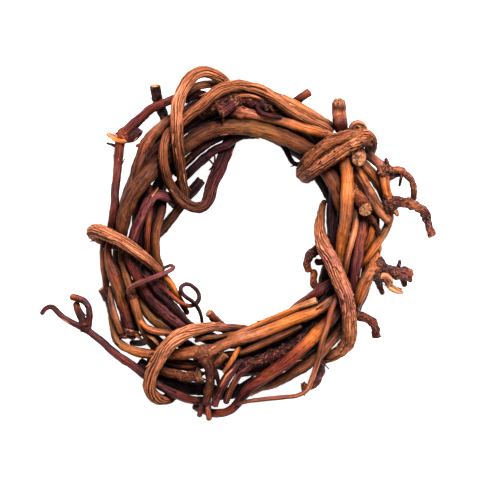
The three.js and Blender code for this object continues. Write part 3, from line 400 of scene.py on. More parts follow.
FRONT_CANES = [
    cane("binder_top", "fluted",
      stem("peach tan tan tan brown umber wine wine tan peach brown umber umber",
        [3.4, 3.8, 4.4, 4.6, 3.8, 3.2, 3.4, 3.9, 4.8, 4.8, 4.4, 4.2, 4.6, 4.4, 3.6, 3.2, 3.4],
        [328, 136, -1.3], [320, 130, -0.8], [310, 123.5, -0.2], [300, 117.5, 0], [290, 111.5, 0],
        [280, 104, 0], [270, 97, 0], [260, 91.5, 0], [250, 88.5, 0], [240, 87, 0], [230, 89.5, 0],
        [220, 94.5, 0], [210, 101.5, 0], [200, 108.5, 0], [190, 115, -0.1], [183, 121, -0.3],
        [175, 127, -0.1], [168, 134, 0.3], [164.5, 142, 0.6], [163.3, 150, 0.8], [163, 160, 1.1],
        [164.5, 170, 1], [167.5, 180, 0.8], [173.5, 190, 0.9], [181, 200, 1.1], [189, 205.5, 1],
        [197, 207.7, 0.8], [204, 206, 0.6], [208.5, 199, 0.5], [210.5, 190, 0.4], [214, 180, 0.3],
        [218.5, 170, 0.2], [222, 160, 0], [225.5, 150, -0.6], [229, 140, -1.2], [231, 130, -1.6],
        [233, 118, -1.6], [233.5, 106, -1.5], [230.5, 95, -1.1], [226, 85.5, -0.4], [220, 78, 0.4],
        [212.5, 73.5, 0.9], [205, 71.5, 1.2], [197, 73.5, 1.4], [190, 79, 1.4], [184, 87, 1.4],
        [180, 96, 1.4], [177.5, 105, 1.4], [176.5, 115, 1.5], [176.5, 125, 1.5], [177, 135, 1.4],
        [178, 145, 1.4], [179, 155, 1.3], [180, 165, 1], [181, 175, 0.6], [182.5, 185, 0.1],
        [184, 194, -0.5], [179.5, 205, -0.9], [173, 215, -1.2], [166.5, 223.5, -1.5], [160, 231, -1.8],
        [152, 238, -2.2])),
    cane("binder_left", "fluted",
      stem("tan tan peach peach peach tan orange tan",
        [3.6, 4.2, 4.8, 5, 5, 4.6, 4.3, 4.1, 3.7, 3.4, 3, 2.4, 1.8],
        [132, 250, -3.2], [120, 245, -2.8], [108, 240, -2.2], [99, 236.5, -1.5], [94, 234, -0.6],
        [93, 231.5, 0.3], [97, 230.5, 1.1], [105, 232.8, 1.5], [113.5, 237, 1.5], [122, 241, 1.5],
        [130, 246, 1.5], [139, 252.5, 1.5], [147, 259.5, 1.4], [155, 266.5, 1.2], [162, 273, 1.1],
        [168, 279, 0.9], [173.5, 285, 0.8], [178, 292, 0.6], [182, 299.5, 0.2], [188, 312, -0.6])),
    cane("binder_bottom", "fluted",
      stem("tan pink peach peach peach tan tan rust",
        [2.4, 2.6, 2.9, 3.2, 3.9, 4.8, 5.2, 5.2, 5, 4.7, 4.5, 4.2, 3.6, 3],
        [258, 332, -1.2], [247, 329.5, -0.7], [235, 328, -0.2], [222, 327.5, 0.2], [210, 327, 0.5],
        [200, 329, 0.8], [190, 331, 1.1], [182, 334, 1.3], [173.5, 340.5, 1.4], [164.5, 350, 1.4],
        [158.5, 360, 1.4], [153.3, 370, 1.3], [150, 380, 1.2], [149.5, 389, 0.9], [153, 395, 0.3],
        [160, 399.5, -0.5], [168.5, 399, -1.3], [178, 393, -2.2])),
    cane("binder_right", "fluted",
      stem("brown tan peach pink peach pink peach tan peach orange",
        [2, 2.8, 4, 5.2, 5.6, 5.6, 5.6, 5.4, 5.4, 5.4, 5.4, 5, 4.2, 3.4],
        [327, 203, -0.7], [324.5, 210, 0], [322.5, 218, 0.5], [321, 228, 0.9], [322, 238, 1.1],
        [326, 249, 1.3], [332, 260, 1.5], [336, 270, 1.5], [340, 281, 1.5], [344, 293, 1.5],
        [347.3, 305, 1.5], [349.3, 318, 1.4], [349.8, 330, 1.2], [348, 340, 0.9], [344.5, 346.5, 0.4],
        [339, 351.5, -0.1], [332, 355.5, -0.8], [323.5, 359, -1.6]),
      rough=0.4),
    cane("tie_vine", "fluted",
      stem("brown tan tan pink brown brown", [3.8, 4.4, 4.9, 5, 5, 4.9, 4.6, 4.4, 4.4, 4.4, 4.2],
        [368, 151, -1.8], [367, 146, -0.6], [362, 144, 0.4], [355, 145.5, 1.1], [348, 149, 1.5],
        [339, 154, 1.7], [330, 159.5, 1.8], [321, 165.5, 1.6], [314, 170.5, 1.1], [311, 173, 0.2],
        [310, 174.5, -0.9], [312, 174.5, -2], [318, 170, -2.9], [326, 164, -3.4], [337, 157, -3.4],
        [350, 149, -3]),
      pressed("brown tan brown tan pink brown", [3.8, 4.2, 4.8, 5, 5.2, 5, 4.8, 4.6, 4.4, 4.4, 4.4, 4.2],
        [367.5, 156, -1.8], [368.5, 149, -0.8], [369, 140.5, 0.3], [364, 136, 1.1], [355, 136.5, 1.5],
        [345, 138, 1.8], [334, 141.5, 1.9], [324, 147, 1.9], [315.5, 154, 1.7], [308, 161, 1.3],
        [304, 167, 0.5], [303.5, 171, -0.6], [305.5, 172, -1.8], [310, 168, -2.8], [319, 160, -3.4],
        [331, 149, -3.4], [344, 140, -3]),
      rough=0.5),
    cane("tie_hump", "fluted",
      stem("tan pink peach peach pink", [3, 3.4, 3.4, 3],
        [343, 143, -1.2], [348, 133, -0.2], [352.5, 125.5, 0.3], [359, 126.5, 0.3], [363, 134, -0.2],
        [365, 143, -1.2])),
    cane("cane_olive_wide", "olive",
      stem("brown umber umber umber umber olive brown brown brown",
        [4.2, 5.2, 5.6, 5.4, 5.4, 5.6, 5.3, 5.4, 4.9, 5, 4.8],
        [121, 243, -0.8], [122, 231, -0.3], [124.5, 215, 0.1], [128, 205, 0.3], [132.5, 195, 0.4],
        [140, 183, 0.3], [150, 172, 0.2], [160, 163, 0.1], [170, 156, 0.1], [182, 149, 0.1],
        [190, 142, 0.1], [200, 135.5, 0.1], [210, 131, 0], [220, 127.5, 0], [240, 125.3, 0],
        [260, 128, 0], [280, 134.5, 0], [300, 144.5, -0.1], [313, 153, -0.3], [326, 171, -0.3],
        [333, 182, -0.2], [338, 195, -0.6], [342, 208, -1.1]),
      lined=0.4),
    cane("cane_left_outer_arc", "golden",
      stem("brown tan rust umber rust umber", [3.4, 3.8, 4.2, 4.2, 4, 3.6, 3],
        [182, 114, -0.8], [172, 120, -0.3], [162, 128, 0], [151.5, 137, 0], [146.5, 145, 0],
        [142.5, 155, 0], [139, 165, 0], [136, 175, -0.3], [133, 186, -0.7], [129.5, 196, -0.9],
        [124.5, 206, -0.9], [121, 218, -1.1], [118, 232, -1.4]),
      stem("rust", [2.2, 1], [146, 144, 0], [141, 145, 0.2], [137, 146, 0.3]),
      split=0.6),
    cane("cane_top_inner", "golden",
      stem("rust peach tan orange tan", [4, 3.4, 3.3, 3.3, 3.3, 3.2],
        [232, 111, -0.4], [240, 112, 0.2], [250, 114, 0.2], [260, 117, 0.1], [270, 120, 0.1],
        [280, 122, 0.1], [290, 124, 0.1], [300, 127, 0], [310, 130, -0.1], [320, 134, -0.5],
        [334, 141, -0.9]),
      lined=0.9, knots=[(240, 112, 0.3, 1.4)]),
    cane("cane_top_right_outer", "golden",
      stem("peach orange peach tan", [3, 3.5, 3.6, 3.5, 3.4],
        [282, 98, -1.2], [291, 103.5, -0.9], [300, 108, -0.8], [310, 114, -0.8], [320, 120.5, -0.9],
        [328, 126, -1.1], [333, 130, -1.3]),
      lined=0.8),
    cane("cane_top_dark_torn", "dark",
      stem("wine purple wine black wine", [2.8, 3.6, 3.9, 3.9, 3.6, 3.2],
        [203, 114, -0.9], [212, 108, -0.4], [225, 102, -0.2], [238, 100, -0.2], [250, 101, -0.2],
        [262, 104, -0.2], [274, 108, -0.3], [286, 113, -0.9]),
      stem("wine purple wine mauve", [3, 3.6, 3.8, 3.4],
        [235, 101, 0], [232, 106, 0.5], [227, 110, 0.7], [220, 113, 0.7]),
      stem("purple wine purple", [1.6, 1.5, 1.1],
        [257, 104, -0.1], [259, 111, 0.3], [266, 115, 0.5], [274, 117, 0.5], [281, 118, 0.4]),
      stem("black wine purple", [3.2, 3.2, 2.8],
        [216, 105, -0.5], [206, 96, -0.9], [196, 94, -1.2], [185, 100, -1.6]),
      strip("peach tan peach wine", [0.8, 1.2, 0.9, 0.4],
        [233, 98, 0.3], [242, 96, 0.5], [252, 96.5, 0.5], [263, 100, 0.4], flat=0.35),
      strip("peach tan wine", [1.2, 1.6, 1.2, 0.5],
        [212, 108, 0], [221, 104, 0.3], [231, 106, 0.4], [241, 107, 0.2], flat=0.35),
      rough=0.7, ends=("torn", "torn"), knots=[(220, 113, 0.7, 1.2), (236, 104, 0.4, 1.4)]),
    cane("cane_top_olive_strip", "olive",
      stem("brown orange tan brown", [1.8, 2.4, 2.2, 1.8],
        [278, 126, -0.9], [290, 130, -0.5], [303, 137, -0.5], [316, 145, -0.9], [328, 156, -1.2])),
    cane("cane_dark_inner_long", "dark",
      stem("wine purple wine purple black", [2.8, 3, 3, 2.8, 2.6, 2.2, 1.8, 1.4],
        [176, 186, -1.1], [183, 178, -0.9], [195, 166, -0.5], [205, 157, -0.4], [215, 149, -0.4],
        [226, 143, -0.4], [240, 135, -0.5], [250, 134.3, -0.5], [262, 134, -0.3], [272, 135.8, 0],
        [283, 145, 0.2], [288, 153, 0.2], [292, 160.5, 0.1], [296, 164.5, 0], [301, 164.5, -0.6]),
      strip("wine black", [0.5, 0.5, 0.4],
        [213, 151, 0], [214.5, 158, 0.1], [213, 164, 0.1], [209, 169, 0]),
      strip("black wine", [0.4, 0.5, 0.4],
        [206, 156, 0], [210, 160, 0.2], [214, 165, 0.2], [218, 168, 0.1])),
    cane("cane_dark_inner_short", "dark",
      stem("wine wine purple", [2.4, 2.8, 2.8, 2.4],
        [172, 172, -1.5], [181, 164, -1], [190, 156.5, -0.8], [199, 149.5, -0.7], [210, 143, -0.8],
        [226, 137, -1.2])),
    cane("cane_right_orange", "golden",
      stem("brown orange tan orange brown", [4.2, 4.3, 4.4, 4.4, 4.3, 4.2, 4],
        [341, 148, -1.1], [343, 160, -0.5], [346, 175, 0.1], [346.5, 190, 0.3], [346, 205, 0.3],
        [345.5, 220, 0.2], [343.5, 235, 0], [341, 246, -0.3], [339, 258, -0.6], [340, 272, -1],
        [344, 288, -1.4]),
      lined=0.1),
    cane("cane_right_striped", "golden",
      stem("brown orange tan tan peach", [3.8, 4.4, 4.6, 4.4, 4, 3],
        [347, 157, -0.8], [352, 168, 0], [358, 178, 0.3], [365, 190, 0.5], [372, 200, 0.6],
        [379, 210, 0.7], [387, 219, 0.7]),
      ends=("cut", "torn"), split=0.8, lined=1.0),
    cane("cane_right_second", "golden",
      stem("orange orange tan rust wine", [3.4, 4, 4, 3.6, 2.8],
        [360, 155.5, -0.8], [365, 161, -0.3], [372.5, 171, 0], [379.5, 182, 0], [385, 194, -0.3],
        [388, 206, -0.9], [388, 222, -1.3]),
      split=0.4, lined=1.0),
    cane("cane_right_outer", "golden",
      stem("tan pink orange orange olive orange orange", [3.2, 3.4, 3.4, 3, 3, 2.8, 2.5, 2.4, 2.2],
        [367.5, 151, -0.8], [370, 155.5, -0.4], [375, 161, 0], [381.5, 167, 0.3], [383.5, 178, 0.2],
        [385.5, 190, 0.2], [389, 202, 0.4], [389, 212, 0.2], [388, 222, 0.1], [383.5, 232, 0],
        [377, 241, 0.1], [371, 249, 0.2], [366, 257, 0.1], [360, 264, -0.5]),
      stem("rust tan red wine tan wine", [2.6, 2.3, 2.4, 2.3, 2.2, 2],
        [384, 169, 0.3], [392, 169.8, 0.4], [400, 170.3, 0.4], [407, 175, 0.4], [412, 182.5, 0.3],
        [414, 190, 0.1], [413.5, 198.5, -0.4]),
      stem("black wine rust tan wine black purple rust", [4.2, 3.6, 3.4, 3.3, 3.1, 2.8, 2.7],
        [389, 204, 0.4], [398, 202, 0.8], [406, 202.7, 1], [414, 205.3, 0.9], [421, 209, 0.7],
        [425.8, 214.5, 0.5], [427.8, 222, 0.4], [430, 230, 0.4], [433, 236, 0.4]),
      stem("black", [1.2, 1.1, 0.8], [401, 171, 0.4], [400.5, 178, 0.2], [399, 185.5, 0]),
      stem("wine", [2.6, 2, 1.6], [384, 177.5, 0.1], [391, 176.5, -0.1], [399, 174, -0.2]),
      stem("black", [2.4, 1.9, 1.3], [385, 169, 0.3], [386, 164, 0.4], [385.5, 159.5, 0.5]),
      stem("straw peach orange", [2.6, 2, 1.2], [391, 204, 0.4], [394.5, 210, 0.5], [397, 215, 0.6]),
      rough=0.2, gnarled=0.9, knots=[(386, 171, 0.5, 1.8), (389, 203, 0.5, 1.8)]),
    cane("cane_right_yellow", "olive",
      stem("tan orange olive", [2.4, 2.6, 2.5, 2.2],
        [374, 212, -0.6], [373, 224, 0], [370, 238, 0.1], [366, 248, -0.1], [360, 258, -0.7])),
    cane("cane_right_thin", "golden",
      stem("orange orange tan", [1.6, 1.8, 1.8, 1.5],
        [378, 218, -0.5], [377.5, 228, -0.1], [375, 238, -0.1], [370, 248, -0.5], [364, 262, -1])),
    cane("cane_right_pale", "golden",
      stem("tan peach tan", [1.9, 2.1, 2.1, 1.9],
        [357, 208, -0.6], [356, 222, 0], [353.5, 235, 0.1], [350.5, 248, 0.1], [347.5, 260, -0.2],
        [345.5, 272, -0.7])),
    cane("cane_right_red", "red",
      stem("mauve rust mauve red", [3.4, 3.8, 4, 4, 3.6, 3.2],
        [361, 203, -1], [362, 217, -0.4], [362, 230, -0.3], [360, 245, -0.3], [358, 260, -0.4],
        [355, 275, -0.7], [352, 292, -1.1])),
    cane("cane_right_lower", "golden",
      stem("orange orange tan orange brown", [3, 3.6, 4, 4.2, 4, 3.6, 3.2],
        [374, 234, -0.9], [373.5, 246, -0.4], [372.5, 257, 0.1], [371, 267, 0.3], [365.5, 277, 0.2],
        [359.5, 290, -0.1], [355.5, 303, -0.5], [353, 316, -1]),
      stem("purple black wine mauve rust", [5.4, 5, 4.6, 4.3, 4.2],
        [374, 266, 0.3], [383, 269.5, 0.3], [392, 272, 0.2], [400, 273.5, 0.1], [412, 274.5, 0]),
      stem("purple rust", [3.4, 2.8, 2.2, 1.6],
        [372, 272, 0], [377, 279, -0.2], [379.5, 286, -0.4], [382, 292.5, -0.6]),
      stem("black wine straw", [2.8, 2.8, 2.2, 2, 1.8],
        [372, 273, 0.6], [380, 277.5, 0.8], [386, 280.5, 0.9], [390, 285.5, 0.8], [394.5, 288.8, 0.6],
        [399.5, 290.5, 0.5]),
      stem("purple", [1.6, 1.3], [395.5, 270, 0.4], [397.5, 264.5, 0.7], [398.5, 261, 0.8]),
      stem("purple rust", [2.4, 2.2, 1.6], [401, 275, 0], [402.5, 280.5, -0.3], [403.5, 284.5, -0.3]),
      strip("straw peach straw", [1.6, 2.2, 1.6, 0.8],
        [377, 276, 0.9], [382, 275, 1.1], [388, 277, 1.1], [391, 282, 0.9], flat=0.4),
      strip("straw straw peach", [1.2, 1.8, 1.4, 0.8],
        [385, 284, 0.9], [390, 288, 1], [396, 291, 0.8], [401, 292, 0.6], flat=0.4),
      rough=0.25, gnarled=1.0, knots=[(373, 268, 0.25, 2.2)]),
    cane("cane_right_dark_inner", "dark",
      stem("wine purple purple wine wine", [3.2, 3.6, 4, 4, 4, 3.8, 3.4],
        [316, 160, -1.8], [325, 172, -1.3], [331.5, 183, -1], [334.5, 197, -0.9], [332.3, 210, -0.8],
        [332.7, 225, -0.7], [334.5, 240, -0.7], [334, 252, -0.9], [331, 268, -1.4], [328, 284, -1.8]),
      stem("wine wine purple rust", [3, 3.2, 3.4, 3.2, 2.8, 2.3],
        [332, 246, -0.6], [323, 248, -0.3], [316.5, 251, -0.1], [311.5, 254.5, 0], [308.5, 259, 0.1],
        [307.5, 264, 0.1], [308.5, 269.5, 0.2]),
      stem("wine rust orange", [2.6, 2.5, 2.5, 2.2],
        [329, 284, -1.6], [322, 288, -0.8], [316, 285, -0.4], [314.7, 279, -0.2], [315.3, 272.5, 0]),
      stem("black wine", [2.4, 2.3, 2], [331, 261, -1.2], [325, 262.5, -0.8], [319.5, 262.5, -0.6]),
      rough=0.2, gnarled=1.0),
    cane("cane_bottom_long", "golden",
      stem("brown tan olive orange tan tan orange tan",
        [2.4, 2.1, 2.5, 2.8, 3, 3.6, 4.2, 3.9, 4, 4.1, 3.6, 3],
        [108, 232, -0.9], [104, 244, -0.3], [103.4, 262, 0.2], [106, 280, 0.3], [108.5, 298, 0.3],
        [112, 312, 0.3], [115, 328, 0.3], [118.5, 339, 0.3], [127, 346.5, 0.3], [138, 351.5, 0.3],
        [150, 353.5, 0.2], [165, 354.5, 0.1], [180, 354, 0.2], [195, 352, 0.4], [206, 352, 0.6],
        [225, 345, 0.5], [240, 340, 0.5], [260, 334, 0.5], [280, 327, 0.4], [300, 317.5, 0.3],
        [312, 312.5, 0.1], [325, 304.5, -0.3], [338, 295, -0.9], flat=0.8),
      stem("brown wine brown wine", [5.4, 4.4, 3.6, 3.2, 3, 2.6],
        [203, 352, 0.4], [209, 364, 0.4], [210.5, 375, 0.3], [210, 385, 0.2], [208, 395, 0],
        [205, 405, -0.3]),
      stem("wine brown", [1.8, 1.6, 1.4], [211, 364, 0.4], [215.5, 372, 0.4], [218, 384, 0.2]),
      stem("wine brown tan", [2.4, 2.9, 3.3], [212, 367, 0.2], [219, 361, 0.2], [225.5, 354.5, 0.4]),
      stem("wine", [2.2, 1.8], [205, 400, -0.1], [201.5, 408, -0.1], [199.5, 415, -0.2]),
      stem("rust", [2.2, 2], [207, 400, -0.1], [208.5, 410, 0], [209.5, 418.5, 0]),
      stem("black wine", [2.6, 2.5], [108, 298, 0.3], [104.5, 293, 0.4], [101.5, 289, 0.5]),
      gnarled=0.4, knots=[(203, 352, 0.2, 3)]),
    cane("cane_bottom_inner", "golden",
      stem("orange orange orange straw", [1.8, 2.3, 2.4, 2.5, 2.4],
        [229, 337, 0], [240, 333, 0.5], [252, 328, 0.6], [266, 321.8, 0.5], [280, 316.7, 0.4],
        [300, 308.7, 0.4], [318, 303.5, 0.3], flat=0.8)),
    cane("cane_bottom_dark_red", "red",
      stem("red rust red wine", [2.8, 3.4, 3.5, 3.5, 3.2],
        [278, 324, -1], [289, 315, -0.5], [299, 306.5, -0.2], [308, 300, 0], [317, 293, 0],
        [326, 287, -0.5], [336, 281, -1])),
    cane("cane_bottom_thin", "golden",
      stem("orange tan orange", [1.2, 1.5, 1.4, 1.2],
        [196, 341, -0.3], [206, 338, 0], [216, 337, 0.1], [230, 334.5, 0.1], [243, 332, -0.2],
        [256, 331, -0.9])),
    cane("cane_bottom_brown", "olive",
      stem("tan brown brown", [1.8, 2.2, 2.2, 1.8],
        [225, 352.5, -0.5], [241, 350.5, -0.2], [265, 342.5, -0.2], [283, 334.5, -0.3],
        [299, 326, -0.8])),
    cane("cane_bottom_outer", "red",
      stem("brown rust orange rust red rust red wine red rust wine",
        [3.6, 4, 4.2, 4.4, 4.4, 4.2, 3.8, 3.1, 2.8, 2.9, 2.7],
        [338, 306, -1.1], [331, 318, -0.5], [320, 330, 0], [310, 340.5, 0.2], [300, 349.5, 0.2],
        [290, 358, 0.2], [280, 366, 0.1], [270, 373, 0], [260, 380, 0], [250, 387, 0], [243, 395, 0],
        [237, 403, 0], [230, 409.3, 0], [221.5, 411.3, 0], [211.5, 409.8, -0.2], [204, 405, -0.5],
        [196, 400, -1])),
    cane("cane_bottom_outermost", "golden",
      stem("brown tan tan brown tan orange", [2.8, 3.4, 3.7, 3.6, 2.8],
        [344, 314, -1.2], [341, 327, -0.8], [332, 341, -0.6], [319, 354.5, -0.4], [305, 366, -0.3],
        [290, 374.5, -0.3], [275, 382, -0.4], [260, 386, -0.8], [248, 392.5, -1.4]),
      stem("wine purple wine rust", [2.4, 2.6, 2.5, 2.3, 2],
        [318, 356, -0.4], [321, 364, -0.3], [321, 372, -0.3], [318, 380, -0.3], [312, 386.5, -0.3],
        [304, 388, -0.2]),
      gnarled=0.6, knots=[(303, 388, 0.8, 1.2)]),
    cane("cane_bottom_tan", "olive",
      stem("umber brown brown wine", [2.8, 3, 3.2, 3.6],
        [150, 366, -0.7], [162, 371, -0.3], [175, 374, -0.1], [188, 376.5, 0], [200, 376, 0]),
      ends=("cut", "torn"), rough=0.7, knots=[(199, 376, 0.36, 1.2)]),
    cane("cane_bottom_dark", "dark",
      stem("wine purple wine purple black brown", [3.4, 4, 4.3, 4.2, 4, 3.6, 3.2],
        [223, 362, -0.9], [234, 366, -0.5], [245, 364, -0.3], [265, 359, -0.3], [290, 347, -0.3],
        [308, 334, -0.5], [320, 322, -0.7], [330, 308, -1.3]),
      stem("purple mauve wine mauve", [2.6, 3, 3.2, 3.2, 2.6],
        [239, 363, -0.2], [232, 370, 0.3], [226.5, 378, 0.4], [221, 389, 0.4], [216, 399, 0.3],
        [214, 406, 0.1]),
      stem("wine mauve tan mauve", [1.8, 2.2, 2.3, 2.3, 2.2, 2],
        [253, 364, -0.1], [246, 368.5, 0.2], [238, 373, 0.4], [233, 380.5, 0.5], [229.5, 389, 0.4],
        [225.5, 401, 0.2]),
      strip("straw peach tan straw", [0.5, 0.9, 0.8, 0.5],
        [238, 365, 0.2], [229, 372, 0.5], [222.5, 382, 0.6], [217.5, 397, 0.5], flat=0.5),
      strip("straw tan straw peach", [0.5, 0.9, 0.8, 0.5],
        [252, 366, 0.2], [243, 370, 0.4], [236, 376, 0.6], [231, 385, 0.6], flat=0.5),
      rough=0.8, ends=("torn", "cut")),
    cane("cane_bottom_deep", "dark",
      stem("black purple black wine", [3.6, 4.2, 4.2, 4.4, 4],
        [238, 359, -1.3], [252, 350, -1.1], [270, 344, -0.9], [290, 334, -0.8], [305, 325, -0.8],
        [320, 313, -0.9], [334, 298, -1.4])),
    cane("cane_bottom_shadow", "dark",
      stem("wine black purple black purple", [3.6, 4.2, 4.6, 4.6, 4.2, 3.6],
        [140, 361, -1.3], [154, 372, -1.1], [170, 381.5, -1], [188, 389, -1], [205, 390.5, -1],
        [222, 395, -0.9], [240, 391, -0.9], [256, 380, -1.3])),
    cane("cane_bottom_left_dark", "dark",
      stem("purple wine brown purple", [3, 3.8, 3.8, 3],
        [148, 360, -1.3], [164, 363, -1.1], [180, 365, -1], [196, 365, -1.1], [210, 361.5, -1.4])),
    cane("cane_left_red_wide", "red",
      stem("rust rust brown rust olive rust wine mauve", [2.2, 2.4, 3.2, 4.2, 4.4, 4.4, 4.4, 5.4, 6],
        [110, 236, -0.9], [107.5, 248, -0.2], [109, 262, 0.1], [114.5, 276, 0.2], [118, 290, 0.2],
        [122, 305, 0.2], [126, 318, 0.3], [127, 328, 0.5], [127.5, 337, 0.4]),
      strip("straw peach orange", [1.2, 1.8, 1.6, 0.6],
        [119, 334, 0.9], [126, 332, 1.2], [134, 335, 1], [141, 341, 0.6], flat=0.35),
      knots=[(127, 333, 0.36, 2.2)]),
    cane("cane_left_thin_orange", "golden",
      stem("tan brown tan brown", [1.8, 2.2, 2.2, 2],
        [112, 288, 0.3], [112, 300, 0.9], [114.5, 312, 1], [118, 323, 0.9], [121, 332, 0.6]),
      ends=("tip", "tip")),
    cane("cane_left_pink", "dark",
      stem("wine mauve mauve mauve wine red wine mauve wine", [3.2, 3.5, 3.5, 3.6, 3.6, 3.5, 3.4, 3.2],
        [172, 204, -1.2], [165, 197, -0.4], [155, 195, 0.2], [147.5, 203, 0.2], [142, 215, 0.2],
        [137, 225, 0.1], [133, 236, 0], [129.5, 250, 0], [130, 262, 0], [134, 272, 0], [139, 282, 0],
        [150, 300, 0], [160, 308, 0], [170, 317, 0], [179, 324, -0.2], [187, 330, -0.8]),
      stem("black purple", [3.2, 3.5, 3.6, 3.6, 3.4],
        [172, 204, -1.2], [180, 201, -1.3], [188, 194, -1.1], [195, 187, -1], [200.5, 180, -1])),
    cane("cane_left_olive", "olive",
      stem("rust olive olive brown", [3, 3.4, 3.4, 3.2],
        [130, 284, -0.8], [138, 295, -0.3], [143.5, 307, 0], [151.5, 318.5, 0], [163, 326, -0.1],
        [174, 334, -0.5], [184, 341, -1]),
      strip("peach straw tan", [0.8, 1.3, 1, 0.4],
        [146, 334, 0.5], [152, 338, 0.8], [157, 343, 0.8], [160, 349, 0.5], flat=0.4),
      knots=[(152, 338, 0.35, 2.4)]),
    cane("cane_left_dark", "dark",
      stem("purple wine purple wine purple", [2.8, 3.1, 3.2, 3.2, 3, 2.6],
        [144, 266, -0.9], [149, 278, -0.4], [156, 289, -0.2], [165, 298, -0.2], [175, 310, -0.3],
        [183, 320, -0.5], [190, 330, -1]),
      stem("wine rust black wine black purple", [1.7, 1.5, 1.5, 1.4, 1.4, 1.4, 1.3, 1.1],
        [153, 283, -0.1], [161, 287, 0.1], [170, 295, 0.3], [180, 303, 0.4], [188, 306, 0.5],
        [194, 305, 0.5], [198.5, 299.5, 0.3], [197.5, 292.5, 0], [192, 287, -0.2], [186, 284.5, -0.2],
        [180.5, 287, 0], [179, 292, 0.8], [184, 297, 1.2], [192, 302, 1.2], [198, 309, 0.9],
        [201, 317, 0.5], [202, 326, -0.1])),
    cane("cane_left_narrow", "olive",
      stem("tan olive tan olive brown", [2.2, 2.5, 2.8, 3, 3, 2.8, 2.6, 2.4],
        [120, 240, -0.9], [121.5, 256, -0.4], [124, 268, -0.2], [128, 283, -0.1], [133, 297, 0],
        [137.5, 310, 0.1], [142.5, 327, 0.1], [148.5, 340, -0.1], [157, 351, -0.6]),
      stem("mauve pink mauve mauve mauve wine", [1.8, 1.8, 1.8, 1.7, 1.6, 1.3, 0.9],
        [133, 297, 0.2], [129, 292, 1], [132, 287, 1.8], [139, 283.5, 2.1], [150, 279, 2.2],
        [161, 274.5, 2.1], [170, 270.5, 2], [174, 267, 1.9], [171, 265.5, 1.8], [164, 268, 1.8]),
      stem("orange peach tan", [1.8, 2.4, 2.3, 1.5],
        [141, 321, 0.2], [148, 328, 0.4], [158, 331.5, 0.5], [168, 332.5, 0.5], [176, 334, 0.3]),
      stem("mauve purple wine", [2.4, 2.4, 1.9], [149, 339, -0.2], [141, 342.5, -0.2], [131, 342, -0.2])),
    cane("cane_left_thin_red", "red",
      stem("red rust rust", [1.8, 2, 2, 1.8],
        [150, 187, -1.4], [150, 206, -1], [148, 222, -0.4], [147, 236, -0.4], [147, 250, -0.8])),
    cane("cane_left_inner", "olive",
      stem("wine brown brown olive", [2.8, 3.2, 3.2, 3],
        [163, 200, -1.2], [161, 213, -0.5], [156, 230, -0.4], [155, 244, -0.5], [156, 258, -0.9],
        [161, 270, -1.4])),
    cane("shoot_top_red", "red",
      stem("rust orange peach wine red red wine rust red red wine red red",
        [2.4, 2.6, 2.8, 2.8, 3, 3.2, 4, 3.4, 2.8, 2.8, 3, 2.8],
        [236, 90, -0.9], [226, 86.5, -0.5], [213, 84.8, -0.2], [200, 86.5, -0.1], [186, 93, -0.1],
        [172, 99.5, 0], [160, 104, 0.1], [150, 109, 0.1], [141, 117.5, 0.1], [131.5, 126.5, 0.1],
        [122.5, 135.5, 0.1], [119, 150, 0], [118, 162, 0], [117, 175, 0], [115.5, 190, 0], [115, 205, 0],
        [113.5, 218, -0.2], [111.5, 230, -0.6]),
      stem("rust wine purple", [2.6, 3, 3.2, 2.6],
        [122, 137, 0.2], [129, 138.5, 0.5], [135.5, 135, 0.6], [140, 130, 0.5]),
      stem("orange peach", [2.4, 1.4], [121, 137, 0.1], [114, 137, 0.2], [108, 134, 0.2]),
      stem("wine", [1.4, 0.7], [119, 147, 0], [113, 145, 0], [107, 143, 0]),
      strip("straw orange peach", [1, 1.8, 2, 1],
        [108, 134, 0.4], [115, 139, 0.5], [124, 140.5, 0.6], [131, 137, 0.6], flat=0.4),
      gnarled=0.4, knots=[(121, 135, 0.3, 1.4)]),
    cane("shoot_left_forked", "red",
      stem("wine wine wine wine red wine wine red wine",
        [1.6, 1.9, 2.1, 2.4, 2.6, 2.8, 2.8, 3, 3, 2.8, 2.6],
        [42, 313, 0.1], [46, 308, 0.1], [52, 307, 0.1], [57, 311.5, 0.1], [63, 317, 0.1], [73, 323, 0.1],
        [84, 328, 0], [92, 334, 0], [101, 341, 0], [110, 349, 0], [120, 357, 0], [132, 365, 0],
        [146, 376, -0.1], [160, 386, -0.2], [179, 396, -0.2], [194, 402, -0.5], [206, 403, -1.1]),
      stem("wine wine purple rust", [2.4, 2.4, 2.2, 2.2, 2.2],
        [86, 329, 0], [89, 320, 0.2], [89, 311, 0.3], [86, 303, 0.3], [80, 299, 0.3],
        [72.5, 297.5, 0.3]),
      stem("wine wine rust", [2.6, 2.8, 2.7, 2.2],
        [84, 326, 0.1], [82, 319, -0.1], [78.5, 312, -0.2], [76, 304.5, -0.3]),
      gnarled=0.4, knots=[(84, 328, 0.3, 1.4)]),
    cane("shoot_bottom_string", "golden",
      stem("brown rust tan tan peach tan rust rust wine",
        [1.6, 1.8, 1.9, 1.9, 1.8, 1.7, 1.5, 1.5, 1.4, 1.3],
        [338, 288, -0.5], [336, 298, 0.2], [331, 310, 0.9], [327, 325, 1.1], [322.5, 338, 1.2],
        [320, 350, 1.2], [317, 363, 1.1], [311.5, 380, 0.9], [307, 390, 0.7], [298, 395.5, 0.6],
        [280, 397.8, 0.6], [262, 399.5, 0.8], [247, 401.5, 0.9], [238, 404, 0.8])),
    cane("twig_bottom_thin", "golden",
      stem("tan orange tan", [1.3, 1.8, 1.9, 1.5, 1.3],
        [243, 339, -0.4], [240, 347, 0], [236, 355, 0.5], [231.5, 363, 0.6], [226, 372, 0.3])),
    cane("stub_top_left", "dark",
      stem("black purple black wine", [3.7, 3.6, 3.5, 3.3],
        [155.5, 86, 0.4], [156.5, 96, 0.1], [160, 106, -0.6], [164, 116, -1.1], [169, 127, -1.5]),
      rough=0.5),
    cane("stub_top_right", "olive",
